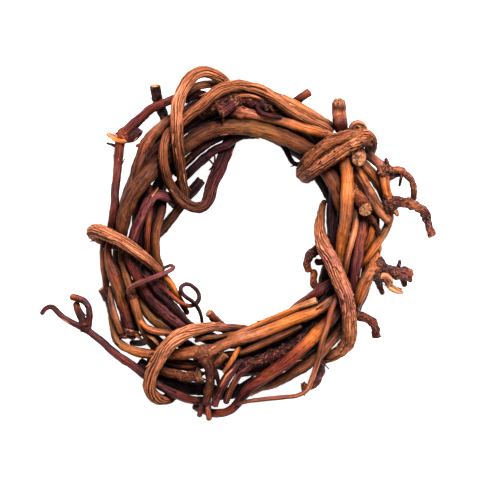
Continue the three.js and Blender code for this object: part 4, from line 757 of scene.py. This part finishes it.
      stem("rust brown wine", [3, 2.9, 2.8],
        [309, 93, 0.4], [303, 97, 0.1], [296, 102.5, -0.7], [287, 109, -1.3])),
    cane("peg_top_right", "olive",
      stem("wine peach pink rust wine", [4.9, 5.1, 4.6],
        [338.5, 106, 0.3], [338.5, 112, 0.1], [339.5, 121, -0.3], [341, 131, -1]),
      ends=("torn", "cut"), rough=0.25),
    cane("peg_cut_face", "golden",
      stem("rust tan tan peach", [3.6, 4, 4.5, 4.6],
        [364, 142, -1], [363, 146, -0.4], [361, 151, 0.3], [359, 157, 1.1], [358, 159, 2.2])),
    cane("cane_knotted_short", "olive",
      stem("rust brown tan rust wine", [3, 3.2, 3.6, 4.6, 4.8],
        [346, 174, -0.6], [352, 184, 0.2], [359, 196, 0.6], [364, 205, 1], [366, 209, 1.8]),
      stem("purple wine purple", [1.8, 1.6, 1.2],
        [365, 207, 1], [370, 217, 0.9], [375, 225, 0.7], [379, 233, 0.5]),
      rough=0.5, gnarled=1.0),
    cane("stub_bottom_inner", "golden",
      stem("rust wine purple wine", [2.8, 3.3, 3.3, 3],
        [209, 313, 0.7], [216, 321, 0.1], [224, 329, -0.8], [233, 337, -1.5], [243, 344, -2]),
      rough=0.3),
    cane("tendril_right_lower", "red",
      stem("wine wine rust wine wine", [3, 3.2, 3.2, 3.1, 3, 2.8],
        [345, 315, -0.9], [356, 315, -0.4], [364, 317, 0], [370.5, 320.5, 0.1], [375, 327, 0],
        [376.5, 337, -0.2]),
      rough=0.8),
]

# The canes inside and behind the bundle are spirals round the ring: tones, width, place across
# the bundle (-1 at the hole, 1 at the outer edge), height in mm, start and turn in degrees,
# and how far they wander.
HIDDEN_CANES = [
    ("cane_back_middle", "olive", "brown wine brown olive brown", 4.6, -0.06, 1.95, 20, 338, 0.14),
    ("cane_back_inner", "golden", "brown tan brown wine brown", 4.2, -0.52, 4, 140, 335, 0.1),
    ("cane_back_outer", "red", "rust wine red rust", 4.2, 0.42, 4, 267, 336, 0.14),
    ("cane_core_inner", "dark", "wine purple wine black wine purple", 4, -0.42, 9, 60, 336, 0.08),
    ("cane_core_outer", "olive", "brown wine purple brown wine rust", 4.2, 0.16, 9, 200, 335, 0.1),
]


# The paper points of a stem, placed. Height 0 lies on the rounded top of the bundle.
def place(route):
    across, down, height = np.array(route, dtype=float).T
    off = np.hypot((across - RING_X) / RING_ACROSS, (down - RING_Y) / RING_DOWN) - 1
    from_middle = off * (RING_ACROSS + RING_DOWN) / 2 / RING_HALF_WIDTH
    bulge = BULGE * np.cos(math.pi / 2 * np.clip(from_middle, -1, 1))
    return np.column_stack([
        (across - PAPER_X) * SQUARE,
        (PAPER_Y - down) * SQUARE,
        MIDDLE_HEIGHT + bulge + height * LAYER,
    ])


def spiral(across, height, start, turn, wander):
    steps = round(turn / SPIRAL_STEP)
    degrees = start + turn * np.arange(steps + 1) / steps
    angle = np.radians(degrees)
    from_tie = (degrees - TIE_ANGLE + 180) % 360 - 180
    shift = RING_HALF_WIDTH * (across + wander * np.sin(WANDERS * angle + start))
    return np.column_stack([
        (RING_X - PAPER_X + (RING_ACROSS + shift) * np.cos(angle)) * SQUARE,
        (PAPER_Y - RING_Y + (RING_DOWN + shift) * np.sin(angle)) * SQUARE,
        (height + TIE_LIFT * np.exp(-(from_tie / TIE_SPREAD) ** 2)) * MM,
    ])


# The values at shares of the way along a list that is spread evenly.
def along(values, share):
    values = np.array(values, dtype=float)
    at = np.clip(share, 0, 1) * (len(values) - 1)
    low = np.minimum(np.floor(at).astype(int), len(values) - 2)
    part = at - low
    if values.ndim > 1:
        part = part[..., None]
    return values[low] + (values[low + 1] - values[low]) * part


# A smooth curve through points, with so many steps in each span.
def smooth_curve(points, steps):
    ends = [2 * points[0] - points[1], 2 * points[-1] - points[-2]]
    padded = np.vstack([ends[0], points, ends[1]])
    p0, p1, p2, p3 = padded[:-3], padded[1:-2], padded[2:-1], padded[3:]
    gaps = np.sqrt(np.linalg.norm(np.diff(padded, axis=0), axis=1))[:, None]
    d0, d1, d2 = gaps[:-2], gaps[1:-1], gaps[2:]
    start = ((p1 - p0) / d0 - (p2 - p0) / (d0 + d1) + (p2 - p1) / d1) * d1
    end = ((p2 - p1) / d1 - (p3 - p1) / (d1 + d2) + (p3 - p2) / d2) * d1
    t = np.arange(1, steps + 1)[:, None, None] / steps
    spans = (p1 + start * t + (3 * (p2 - p1) - 2 * start - end) * t ** 2
             + (2 * (p1 - p2) + start + end) * t ** 3)
    return np.vstack([points[:1], spans.transpose(1, 0, 2).reshape(-1, 3)])


def lengths_along(points):
    return np.concatenate([[0], np.cumsum(np.linalg.norm(np.diff(points, axis=0), axis=1))])


def at_lengths(points, goals):
    reached = lengths_along(points)
    return np.column_stack([np.interp(goals, reached, points[:, k]) for k in range(3)])


class Strand:
    """A stem as evenly spaced points with a radius at each."""

    def __init__(self, points, widths, tones, parent=None, kind="stem", flat=1):
        fine = smooth_curve(points, DRAWN_STEPS)
        self.length = lengths_along(fine)[-1]
        count = max(3, math.floor(self.length / SPACING + 0.5)) + 1
        shares = np.arange(count) / (count - 1)
        self.drawn = at_lengths(fine, self.length * shares)
        self.radii = along(widths, shares) / 2 * MM
        self.tones = tones.split()
        self.parent = parent
        self.kind = kind
        self.is_loose = kind == "strip"
        self.flat = flat
        self.number = -1
        if parent:
            self.root = int(np.argmin(np.linalg.norm(parent.drawn - points[0], axis=1)))


def make_strand(part, parent):
    return Strand(place(part["route"]), part["widths"], part["tones"], parent, part["kind"],
                  part["flat"])


def make_canes():
    canes = []
    for name, bark, tones, width, across, height, start, turn, wander in HIDDEN_CANES:
        points = spiral(across, height, start, turn, wander)
        kind = "on_table" if height < TABLE_LAYER else "stem"
        strand = Strand(points, [width, width, SPIRAL_TAPER * width], tones, kind=kind)
        canes.append({**cane(name, bark), "strands": [strand]})
    for one in FRONT_CANES:
        strands = []
        for part in one["parts"]:
            if part["kind"] != "strip":
                is_shoot = strands and part["kind"] == "stem"
                strands.append(make_strand(part, strands[0] if is_shoot else None))
        canes.append({**one, "strands": strands})
    return canes


class Settling:
    """Presses the canes apart for a set number of rounds, keeping who lies above whom."""

    def __init__(self, canes):
        self.strands = [strand for one in canes for strand in one["strands"]]
        sizes = [len(strand.drawn) for strand in self.strands]
        first = np.concatenate([[0], np.cumsum(sizes)])
        for number, strand in enumerate(self.strands):
            strand.number = number

        def spread(values):
            return np.repeat(values, sizes)

        self.first = first
        self.drawn = np.vstack([strand.drawn for strand in self.strands])
        self.radius = np.concatenate([strand.radii for strand in self.strands])
        self.shift = np.zeros_like(self.drawn)
        self.at = self.drawn.copy()
        self.owner = spread([k for k, one in enumerate(canes) for _ in one["strands"]])
        self.strand = spread(np.arange(len(sizes)))
        self.index = np.arange(first[-1]) - spread(first[:-1])
        self.grown_in = spread([strand.kind == "pressed" for strand in self.strands])
        self.shoot = spread([strand.parent is not None for strand in self.strands])
        self.goal = spread([0 if strand.kind == "on_table" else MIDDLE_HEIGHT
                            for strand in self.strands])
        self.before = np.maximum(np.arange(first[-1]) - 1, spread(first[:-1]))
        self.after = np.minimum(np.arange(first[-1]) + 1, spread(first[1:] - 1))
        shoots = [strand for strand in self.strands if strand.parent]
        self.root_spots = first[[strand.number for strand in shoots]]
        self.parent_spots = np.array([first[strand.parent.number] + strand.root
                                      for strand in shoots])

    # Two points may press on each other unless they are neighbours on one strand, or one
    # of them is at the root of a side shoot and the other is on the same cane.
    def may_press(self, a, b):
        reach = self.radius[a] + self.radius[b]
        same_strand = self.strand[a] == self.strand[b]
        same_cane = (self.owner[a] == self.owner[b]) & ~same_strand
        apart = np.abs(self.index[a] - self.index[b]) * SPACING > SAME_STRAND * reach
        root_a = np.where(self.shoot[a], self.index[a] * SPACING, np.inf)
        root_b = np.where(self.shoot[b], self.index[b] * SPACING, np.inf)
        free = np.minimum(root_a, root_b) > NEAR_ROOT * reach
        free &= ~(self.grown_in[a] | self.grown_in[b])
        return np.where(same_strand, apart, np.where(same_cane, free, True))

    def find_pairs(self):
        order = np.argsort(self.at[:, 0], kind="stable")
        x = self.at[order, 0]
        count = len(x)
        widest = 2 * self.radius.max() + CLEARANCE + REACH
        runs = np.searchsorted(x, x + widest) - np.arange(count) - 1
        one = np.repeat(np.arange(count), runs)
        step = np.arange(runs.sum()) - np.repeat(np.cumsum(runs) - runs, runs)
        a, b = order[one], order[one + 1 + step]
        a, b = np.minimum(a, b), np.maximum(a, b)
        gap = np.linalg.norm(self.at[a] - self.at[b], axis=1)
        near = gap < self.radius[a] + self.radius[b] + CLEARANCE + REACH
        a, b = a[near], b[near]
        allowed = self.may_press(a, b)
        return a[allowed], b[allowed]

    def pushes(self, a, b):
        between = self.at[a] - self.at[b]
        rise = self.drawn[a, 2] - self.drawn[b, 2]
        wanted = self.radius[a] + self.radius[b] + CLEARANCE
        overlap = wanted - np.linalg.norm(between, axis=1)
        crossed = (np.abs(rise) > CLEAR_RISE) & (between[:, 2] * rise < 0)
        push = between * [SIDEWAYS, SIDEWAYS, 1]
        push[crossed] = np.column_stack([0 * rise, 0 * rise, np.sign(rise)])[crossed]
        size = np.where(crossed, wanted, overlap) / 2
        push *= (size / np.linalg.norm(push, axis=1))[:, None]
        touching = overlap > 0
        return a[touching], b[touching], push[touching]

    def smooth(self, chosen, share):
        mean = (self.shift[self.before[chosen]] + self.shift[self.after[chosen]]) / 2
        self.shift[chosen] += (mean - self.shift[chosen]) * share

    def run(self):
        count = len(self.drawn)
        for turn in range(ROUNDS):
            late = turn / ROUNDS
            if turn % LOOK_EVERY == 0:
                pairs = self.find_pairs()
            a, b, push = self.pushes(*pairs)
            touches = np.bincount(a, minlength=count) + np.bincount(b, minlength=count)
            for k in range(3):
                total = (np.bincount(a, push[:, k], minlength=count)
                         - np.bincount(b, push[:, k], minlength=count))
                self.shift[:, k] += total / np.maximum(1, touches)
            self.shift[:, :2] *= 1 - DRAWN_PULL * (1 - late)
            self.shift[:, 2] += (self.goal - self.at[:, 2]) * SQUEEZE * (1 - late)
            for chosen in (~self.shoot, self.shoot):
                self.smooth(np.flatnonzero(chosen), EARLY_SMOOTHING * (1 - late) + LEAST_SMOOTHING)
                self.shift[self.root_spots] = self.shift[self.parent_spots]
            lowest = self.radius - FLAT_DEPTH - self.drawn[:, 2]
            self.shift[:, 2] = np.maximum(self.shift[:, 2], lowest)
            self.at = self.drawn + self.shift
        for k, strand in enumerate(self.strands):
            strand.settled = self.at[self.first[k]:self.first[k + 1]]

    # Painted shade: how near each spot of a skin lies to other canes, from 0 in the open to 1 when hemmed
    # in by them.
    def painted_shade_from_canes(self, points, outward, strand):
        others = self.strand != strand.number
        spots = self.at[others]
        radius = self.radius[others]
        covered = np.zeros(len(points))
        for start in range(0, len(points), SHADE_BATCH):
            part = slice(start, start + SHADE_BATCH)
            way = spots[None] - points[part, None]
            gap = np.linalg.norm(way, axis=2)
            facing = np.clip((way * outward[part, None]).sum(axis=2) / gap, 0, 1)
            share = facing * radius * SPACING / np.maximum(gap, radius) ** 2
            covered[part] = (share * (gap < SHADE_REACH)).sum(axis=1)
        return 1 - np.exp(-covered * SHADE_STRENGTH)


# A strip of loose bark: its root follows the cane where that has settled.
def hang(part, parent):
    strand = make_strand(part, parent)
    strand.settled = strand.drawn + parent.settled[strand.root] - parent.drawn[strand.root]
    return strand


# A fibre that peels off a cane, lifted at its far end.
def peel(parent, rng):
    at = rng.integers(1, len(parent.settled) - 1)
    way = parent.settled[at + 1] - parent.settled[at - 1]
    way *= rng.choice([-1, 1]) / np.linalg.norm(way)
    side = np.cross(way, [0, 0, 1])
    side /= np.linalg.norm(side)
    up = np.cross(side, way)
    turn = rng.uniform(-FIBRE_SIDE, FIBRE_SIDE)
    outward = up * math.cos(turn) + side * math.sin(turn)
    length = rng.uniform(*FIBRE_LENGTH)
    root = parent.settled[at] + outward * parent.radii[at]
    lift = rng.uniform(*FIBRE_LIFT) * length
    sway = rng.uniform(-FIBRE_SWAY, FIBRE_SWAY) * length
    points = [root - outward * FIBRE_ROOT]
    for share, bent in (FIBRE_BEND, (1, 1)):
        points.append(root + way * length * share + outward * lift * bent + side * sway * bent)
    widths = [rng.uniform(*FIBRE_WIDTH), *FIBRE_TIP]
    strand = Strand(np.array(points), widths, rng.choice(FIBRE_TONES), parent, "strip", FIBRE_FLAT)
    strand.settled = strand.drawn
    return strand


def loose_bark(one):
    rng = np.random.default_rng(len(one["name"]) * SEEDS_PER_CANE + len(one["strands"]))
    loose = []
    for parent in one["strands"]:
        if parent.radii.max() * 2 > THIN_TIP:
            for _ in range(round(parent.length / FIBRE_GAP)):
                loose.append(peel(parent, rng))
    for part in one["parts"]:
        if part["kind"] == "strip":
            loose.append(hang(part, one["strands"][0]))
    return loose


# How much is left of something at so many widths from its middle.
def bump(off, width):
    return np.exp(-(off / width) ** 2)


class Skin:
    """The fine skin of one strand: rings of spots round its middle line."""

    def __init__(self, one, strand, seed, settling):
        self.one = one
        self.strand = strand
        self.seed = seed
        self.is_shoot = strand.parent is not None
        self.fluted = one["bark"] == "fluted" and not strand.is_loose
        self.width = 2 * strand.radii.max()
        self.lay_rings()
        self.turn_rings()
        self.raise_bark()
        self.place_spots()
        self.mark(settling)

    # The rings lie evenly along the strand, and a few more close each end.
    def lay_rings(self):
        radii = self.strand.radii
        step = FLUTED_STEP if self.fluted else RING_STEP
        steps = max(FEWEST_STEPS, round(self.strand.length / step))
        fine = smooth_curve(self.strand.settled, SETTLED_STEPS)
        length = lengths_along(fine)[-1]
        starts, stops = self.end_rings()
        rings = [(-rise * radii[0], size, cut) for rise, size, cut in starts[::-1]]
        rings += [(at, 1, 0) for at in np.linspace(0, length, steps + 1)]
        rings += [(length + rise * radii[-1], size, cut) for rise, size, cut in stops]
        self.reach, self.size, self.cut = np.array(rings).T
        self.share = np.clip(self.reach / length, 0, 1)
        held = np.clip(self.reach, 0, length)
        ahead = at_lengths(fine, np.minimum(held + step / 2, length))
        behind = at_lengths(fine, np.maximum(held - step / 2, 0))
        self.way = ahead - behind
        self.way /= np.linalg.norm(self.way, axis=1)[:, None]
        self.past = self.reach - held
        self.middle = at_lengths(fine, held) + self.way * self.past[:, None]
        self.length = length

    def end_rings(self):
        kinds = ("tip", "cut") if self.is_shoot else self.one["ends"]
        thin = 2 * self.strand.radii[[0, -1]] < THIN_TIP
        return [ENDS["tip" if kind == "cut" and is_thin else kind]
                for kind, is_thin in zip(kinds, thin)]

    # Each ring's up and side, turned as little as can be from ring to ring.
    def turn_rings(self):
        up = Vector((0, 0, 1))
        ups = []
        for way in self.way:
            ahead = Vector(way)
            up = up - ahead * up.dot(ahead)
            if up.length < TINY:
                up = ahead.orthogonal()
            up.normalize()
            ups.append(up[:])
        self.up = np.array(ups)
        self.side = np.cross(self.way, self.up)

    def ripple(self, pattern, lengthwise=1):
        number, shortest, longest, fewest, most, count = RIPPLES[pattern]
        rng = np.random.default_rng(self.seed + number)
        at = lengthwise * self.reach[:, None]
        total = 0
        for _ in range(count):
            wave = math.exp(rng.uniform(math.log(shortest), math.log(longest)))
            turns = int(rng.integers(fewest, most + 1)) * int(rng.choice([-1, 1]))
            start = rng.uniform(0, TURN)
            total = total + np.cos(TURN * at / wave + turns * self.angle + start)
        return total / math.sqrt(count / 2)

    def raise_bark(self):
        fewest = LOOSE_SIDES if self.strand.is_loose else FEWEST_SIDES
        self.sides = max(fewest, round(math.pi * self.width / SIDE_WIDTH))
        if self.fluted:
            self.sides = SIDES_PER_GROOVE * GROOVES
        self.angle = np.linspace(0, TURN, self.sides + 1)[None, :]
        self.crust = np.zeros((len(self.reach), self.sides + 1))
        self.swell = 1 + SWAY * self.ripple("sway")
        if self.fluted:
            self.flute()
        else:
            self.line()
        if self.width > THIN_CANE and not self.fluted and not self.strand.is_loose:
            self.add_nodes()
        if self.one["split"] and not self.is_shoot:
            self.split()
        if not self.strand.is_loose:
            self.add_knots()
            self.roughen()
        if self.is_shoot and not self.strand.is_loose:
            collar = bump(self.reach[:, None], COLLAR_REACH * self.strand.radii[0])
            self.swell = self.swell + (COLLAR if self.width < WIDE_SHOOT else LOW_COLLAR) * collar
        self.swell = self.swell + GRIT * self.ripple("grit")

    def flute(self):
        drift = FLUTE_DRIFT * self.ripple("flute_drift")
        lines = np.abs(np.sin(GROOVES * (self.angle / 2 + drift / 2)))
        depth = FLUTE_MEAN + FLUTE_CHANGE * self.ripple("flute_depth")
        fine = (1 - lines) ** FLUTE_SHARPNESS * np.clip(depth, *FLUTE_RANGE)
        folds = np.abs(np.sin(FOLDS / 2 * (self.angle + FOLD_DRIFT * drift) + self.seed))
        self.groove = np.maximum(fine, FOLD_GROOVE * bump(folds, FOLD_WIDTH))
        self.swell = self.swell - FLUTE_DEPTH * self.groove - FOLD_DEPTH * (1 - folds)

    def line(self):
        drift = FACET_DRIFT * self.ripple("facet_drift")
        facets = FACET_HEIGHT * np.cos(FACETS * self.angle + self.seed + drift)
        lines = np.clip((self.ripple("long_lines") - LINE_START) / LINE_WIDTH, 0, 1)
        self.groove = lines * self.one["lined"]
        self.swell = self.swell + facets - LINE_DEPTH * self.groove

    def add_nodes(self):
        broken = np.clip(NODE_BROKEN * self.ripple("broken"), 0, NODE_DARKEST)
        for spot in self.node_spots():
            off = self.reach[:, None] - spot
            self.swell = self.swell + NODE_SWELL * bump(off, NODE_REACH)
            self.groove = np.maximum(self.groove, broken * bump(off - NODE_RING, NODE_RING_WIDTH))

    def node_spots(self):
        rng = np.random.default_rng(self.seed + NODE_SEED)
        spots = []
        at = rng.uniform(*NODE_GAP) * FIRST_NODE
        while at < self.length - LAST_NODE:
            spots.append(at)
            at += rng.uniform(*NODE_GAP)
        return spots

    def split(self):
        line = SPLIT_DRIFT * self.ripple("split_drift")
        off = (self.angle - line + math.pi) % TURN - math.pi
        deep = bump(off, SPLIT_WIDTH) * self.one["split"]
        self.swell = self.swell - SPLIT_DEPTH * deep
        self.groove = np.maximum(self.groove, deep)

    def add_knots(self):
        for across, down, more, spread in self.one["knots"]:
            x = (across - PAPER_X) * SQUARE
            y = (PAPER_Y - down) * SQUARE
            off = np.hypot(self.middle[:, 0] - x, self.middle[:, 1] - y)
            near = bump(off, spread * MM)[:, None]
            lumps = 1 + KNOT_LUMPS * self.ripple("knot_lumps")
            self.swell = self.swell + more * near * lumps
            if more > CRUSTY:
                self.crust = np.maximum(self.crust, np.clip(KNOT_CRUST * near, 0, 1))

    def roughen(self):
        rough = self.one["gnarled" if self.is_shoot else "rough"]
        if not rough:
            return
        flakes = self.ripple("flakes")
        lumps = self.ripple("lumps")
        self.swell = self.swell + FLAKES * rough * flakes
        if not self.fluted:
            self.swell = self.swell + LUMPS * rough * lumps
        high = np.clip(FLAKE_CRUST * flakes + LUMP_CRUST * lumps + LEAST_CRUST, 0, 1)
        self.crust = np.maximum(self.crust, rough * high)

    def place_spots(self):
        base = along(self.strand.radii, self.share)[:, None] + BARK_GROWTH
        radius = base * self.swell * self.size[:, None]
        radius[0] = radius[-1] = 0
        uneven = self.cut * (FACE_UNEVEN + TORN_UNEVEN * np.abs(self.past) / base[:, 0])
        face = uneven[:, None] * base * self.ripple("face", 0) * np.sqrt(self.size[:, None])
        face[0] = face[0].mean()
        face[-1] = face[-1].mean()
        self.high = radius * np.cos(self.angle) * self.strand.flat
        self.wide = radius * np.sin(self.angle)
        self.spots = (self.middle[:, None] + self.up[:, None] * self.high[:, :, None]
                      + self.side[:, None] * self.wide[:, :, None]
                      + self.way[:, None] * face[:, :, None])
        self.spots[:, :, 2] = np.maximum(self.spots[:, :, 2], 0)

    def mark(self, settling):
        lengthwise = self.reach[:, None] + self.seed * SEED_SHIFT + 0 * self.angle
        tones = along([paint(tone) for tone in self.strand.tones], self.share)
        self.marks = {
            "straight": np.stack([self.wide, self.high, lengthwise], axis=2),
            "tone": np.repeat(tones[:, None], self.sides + 1, axis=1),
            "groove": self.groove * (1 - self.cut[:, None]),
            "crust": self.crust,
            "painted_shade": self.shade(settling),
            "cut": np.repeat(self.cut[:, None], self.sides + 1, axis=1),
        }

    # The painted shade by other canes, worked out at a few spots and spread over the rest.
    def shade(self, settling):
        rows = np.arange(len(self.reach))
        some = np.unique(np.append(rows[::SHADE_EVERY], rows[-1]))
        columns = np.round(np.arange(SHADE_AROUND + 1) * self.sides / SHADE_AROUND).astype(int)
        grid = np.ix_(some, columns)
        outward = (self.up[:, None] * np.cos(self.angle)[:, :, None]
                   + self.side[:, None] * np.sin(self.angle)[:, :, None])
        covered = settling.painted_shade_from_canes(self.spots[grid].reshape(-1, 3), outward[grid].reshape(-1, 3),
                                  self.strand).reshape(len(some), -1)
        wide = np.array([np.interp(np.arange(self.sides + 1), columns, row) for row in covered])
        return np.column_stack([np.interp(rows, some, column) for column in wide.T])


# Joins the skins of a cane's strands into one piece, on closed tubes rolled from flat grids.
def make_piece(name, skins):
    rolled = bmesh.new()
    rolled.loops.layers.uv.new("bark")
    for skin in skins:
        bmesh.ops.create_grid(rolled, x_segments=skin.sides, y_segments=len(skin.reach) - 1,
                              size=1, calc_uvs=True)
    mesh = bpy.data.meshes.new(name)
    rolled.to_mesh(mesh)
    rolled.free()
    mesh.vertices.foreach_set("co", np.concatenate([skin.spots.ravel() for skin in skins]))
    for mark, (kind, field) in MARKS.items():
        values = np.concatenate([skin.marks[mark].ravel() for skin in skins])
        mesh.attributes.new(mark, kind, "POINT").data.foreach_set(field, values)
    mesh.update()
    closed = bmesh.new()
    closed.from_mesh(mesh)
    bmesh.ops.remove_doubles(closed, verts=closed.verts, dist=MERGE)
    bmesh.ops.recalc_face_normals(closed, faces=closed.faces)
    for face in closed.faces:
        face.smooth = True
    closed.to_mesh(mesh)
    closed.free()
    piece = bpy.data.objects.new(name, mesh)
    bpy.context.scene.collection.objects.link(piece)
    return piece


# A tone of the card as the light that it sends back.
def paint(tone):
    card = np.array(TONES[tone]) / 255
    return (*np.where(card < 0.04045, card / 12.92, ((card + 0.055) / 1.055) ** 2.4), 1)


class Value:
    """A number that changes over a surface, for sums and products."""

    def __init__(self, finish, socket):
        self.finish = finish
        self.socket = socket

    def __add__(self, other):
        return self.finish.math("ADD", self, other)

    def __sub__(self, other):
        return self.finish.math("SUBTRACT", self, other)

    def __rsub__(self, other):
        return self.finish.math("SUBTRACT", other, self)

    def __mul__(self, other):
        return self.finish.math("MULTIPLY", self, other)

    __radd__ = __add__
    __rmul__ = __mul__


class Finish:
    """A material in the making."""

    def __init__(self, name):
        self.material = bpy.data.materials.new(name)
        self.material.use_nodes = True
        self.tree = self.material.node_tree
        self.shader = self.tree.nodes["Principled BSDF"]

    def feed(self, socket, value):
        if isinstance(value, Value):
            self.tree.links.new(value.socket, socket)
        else:
            socket.default_value = value

    def shaded(self, name, value):
        self.feed(self.shader.inputs[name], value)

    def node(self, kind, settings, inputs, output=0):
        made = self.tree.nodes.new(kind)
        for key, value in settings.items():
            setattr(made, key, value)
        for key, value in inputs.items():
            self.feed(made.inputs[key], value)
        return Value(self, made.outputs[output])

    def math(self, operation, one, other):
        return self.node("ShaderNodeMath", {"operation": operation}, {0: one, 1: other})

    def vector(self, operation, one, other=(0, 0, 0)):
        return self.node("ShaderNodeVectorMath", {"operation": operation}, {0: one, 1: other})

    def product(self, one, other):
        return self.vector("MULTIPLY", one, other)

    def scaled(self, colour, share):
        return self.node("ShaderNodeVectorMath", {"operation": "SCALE"}, {0: colour, "Scale": share})

    def mark(self, name, output="Fac"):
        return self.node("ShaderNodeAttribute", {"attribute_name": name}, {}, output)

    def noise(self, where, detail, rough):
        return self.node("ShaderNodeTexNoise", {},
                         {"Vector": where, "Scale": 1, "Detail": detail, "Roughness": rough})

    def grain(self, where, name):
        around, lengthwise, detail, rough = GRAINS[name]
        stretch = (around / MM, around / MM, lengthwise / MM)
        return self.noise(self.product(where, stretch), detail, rough)

    def edge(self, value, name):
        low, high = EDGES[name]
        return self.node("ShaderNodeMapRange", {"interpolation_type": "SMOOTHSTEP"},
                         {"Value": value, "From Min": low, "From Max": high})

    def mix(self, share, one, other):
        return self.node("ShaderNodeMix", {"data_type": "RGBA"}, {0: share, 6: one, 7: other}, 2)


def make_bark(name):
    how = BARKS[name]
    bark = Finish(name + "_bark")
    where = bark.mark("straight", "Vector")
    tone = bark.mark("tone", "Color")
    groove, crust, cut, painted_shade = [bark.mark(mark) for mark in ("groove", "crust", "cut", "painted_shade")]
    streak, fibre, patch = [bark.grain(where, grain) for grain in ("streak", "fibre", "patch")]
    crack, speck, fleck, flake = [bark.edge(bark.grain(where, grain), grain)
                                  for grain in ("crack", "speck", "fleck", "flake")]

    # Streaks, fibres and patches make the bark light or dark, and cracks and flecks darken it. Grooves
    # and nearby canes darken it too, as painted shade.
    light = LIGHT + STREAK_LIGHT * how["streak"] * (bark.edge(streak, "streak") - 0.5)
    light = light + FIBRE_LIGHT * (fibre - 0.5) + PATCH_LIGHT * bark.edge(patch, "patch")
    shade = (1 - how["crack"] * crack) * (1 - GROOVE_SHADE * groove) * (1 - PAINTED_SHADE_ON_BARK * painted_shade)
    shade = shade * (1 - how["fleck"] * fleck)
    deep = bark.scaled(bark.product(tone, tone), DEEP)
    skin = bark.mix(bark.edge(light, "light"), deep, tone)
    skin = bark.mix(speck * how["speck"], skin, paint("peach"))
    # The ridges between the grooves get a painted highlight, a paler copy of the tone.
    skin = bark.mix((1 - groove) * how["ridge_highlight"], skin, bark.product(tone, RIDGE_HIGHLIGHT))
    skin = bark.scaled(skin, (LEAST_LIGHT + (1 - LEAST_LIGHT) * light) * shade)

    # Crusty bark: pale flakes over black.
    pale = bark.mix(PALE_FLAKES, tone, paint("peach"))
    # The crust is darkened by the same painted shade from nearby canes.
    scurf = bark.scaled(bark.mix(flake, paint("black"), pale), 1 - PAINTED_SHADE_ON_CRUST * painted_shade)
    crusty = crust + CRUMBLY * (bark.grain(where, "crumb") - 0.5)
    skin = bark.mix(bark.edge(crusty, "crusty"), skin, scurf)

    # The wood of a cut face, with dark cracks that run out from its middle.
    around = bark.vector("NORMALIZE", bark.product(where, (1, 1, 0)))
    fine = bark.product(where, RAY_GRAIN)
    rays = bark.noise(bark.vector("ADD", fine, bark.scaled(around, RAYS)), RAY_DETAIL, RAY_ROUGH)
    wood = bark.mix(bark.edge(rays, "rays"), paint("wine"), paint("straw"))
    wood = bark.mix(bark.edge(fleck + crack, "stained"), wood, paint("rust"))
    # The wood of a cut face is darkened by the painted shade from nearby canes as well.
    skin = bark.mix(cut, skin, bark.scaled(wood, 1 - PAINTED_SHADE_ON_WOOD * painted_shade))

    rough = how["rough"] + FIBRE_ROUGH * (fibre - 0.5) + GROOVE_ROUGH * groove + CRUST_ROUGH * crust
    height = streak * STREAK_HEIGHT + fibre * FIBRE_HEIGHT - CRACK_HEIGHT * crack + crust * flake
    relief = bark.node("ShaderNodeBump", {}, {"Strength": RELIEF_STRENGTH,
                                              "Distance": how["relief"], "Height": height})
    bark.shaded("Base Color", bark.product(skin, WARMTH))
    bark.shaded("Roughness", rough)
    bark.shaded("Specular IOR Level", how["shine"])
    bark.shaded("Normal", relief)
    return bark.material


def dress(canes, settling):
    barks = {name: make_bark(name) for name in BARKS}
    for k, one in enumerate(canes):
        skins = [Skin(one, strand, SEEDS_PER_CANE * k + number, settling)
                 for number, strand in enumerate(one["strands"] + loose_bark(one))]
        piece = make_piece(one["name"] + "_bark", skins)
        piece.data.materials.append(barks[one["bark"]])
        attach(piece, "root")
        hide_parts(one["name"])
        one["bark"] + "_bark"


def make_floor():
    table = bmesh.new()
    bmesh.ops.create_grid(table, x_segments=1, y_segments=1, size=FLOOR_WIDTH / 2)
    mesh = bpy.data.meshes.new("floor")
    table.to_mesh(mesh)
    table.free()
    floor = bpy.data.objects.new("floor", mesh)
    bpy.context.scene.collection.objects.link(floor)
    white = Finish("white_table")
    white.shaded("Base Color", FLOOR_WHITE)
    white.shaded("Roughness", FLOOR_ROUGH)
    white.shaded("Emission Color", WHITE)
    white.shaded("Emission Strength", FLOOR_GLOW)
    mesh.materials.append(white.material)


def make_camera():
    data = bpy.data.cameras.new("camera")
    data.sensor_width = SENSOR
    data.lens = SENSOR * CAMERA_HEIGHT / (PHOTO_SQUARES * SQUARE)
    data.clip_start = NEAREST
    data.clip_end = FARTHEST
    camera = bpy.data.objects.new("camera", data)
    camera.location = ((PHOTO_SQUARES / 2 - PAPER_X) * SQUARE,
                       (PAPER_Y - PHOTO_SQUARES / 2) * SQUARE,
                       CAMERA_HEIGHT + FOCUS_HEIGHT)
    bpy.context.scene.collection.objects.link(camera)
    bpy.context.scene.camera = camera


def make_light(name, spot, width, height, watts):
    data = bpy.data.lights.new(name, "AREA")
    data.shape = "RECTANGLE"
    data.size = width
    data.size_y = height
    data.energy = watts
    light = bpy.data.objects.new(name, data)
    light.location = spot
    light.rotation_euler = (-Vector(spot)).to_track_quat("-Z", "Y").to_euler()
    bpy.context.scene.collection.objects.link(light)


def make_studio():
    for name, light in LIGHTS.items():
        make_light(name, *light)
    world = bpy.data.worlds.new("studio")
    world.use_nodes = True
    background = world.node_tree.nodes["Background"]
    background.inputs["Color"].default_value = WHITE
    background.inputs["Strength"].default_value = WORLD_LIGHT
    bpy.context.scene.world = world
    bpy.context.scene.view_settings.view_transform = "Standard"


canes = make_canes()
settling = Settling(canes)
settling.run()
dress(canes, settling)
make_floor()
make_camera()
make_studio()
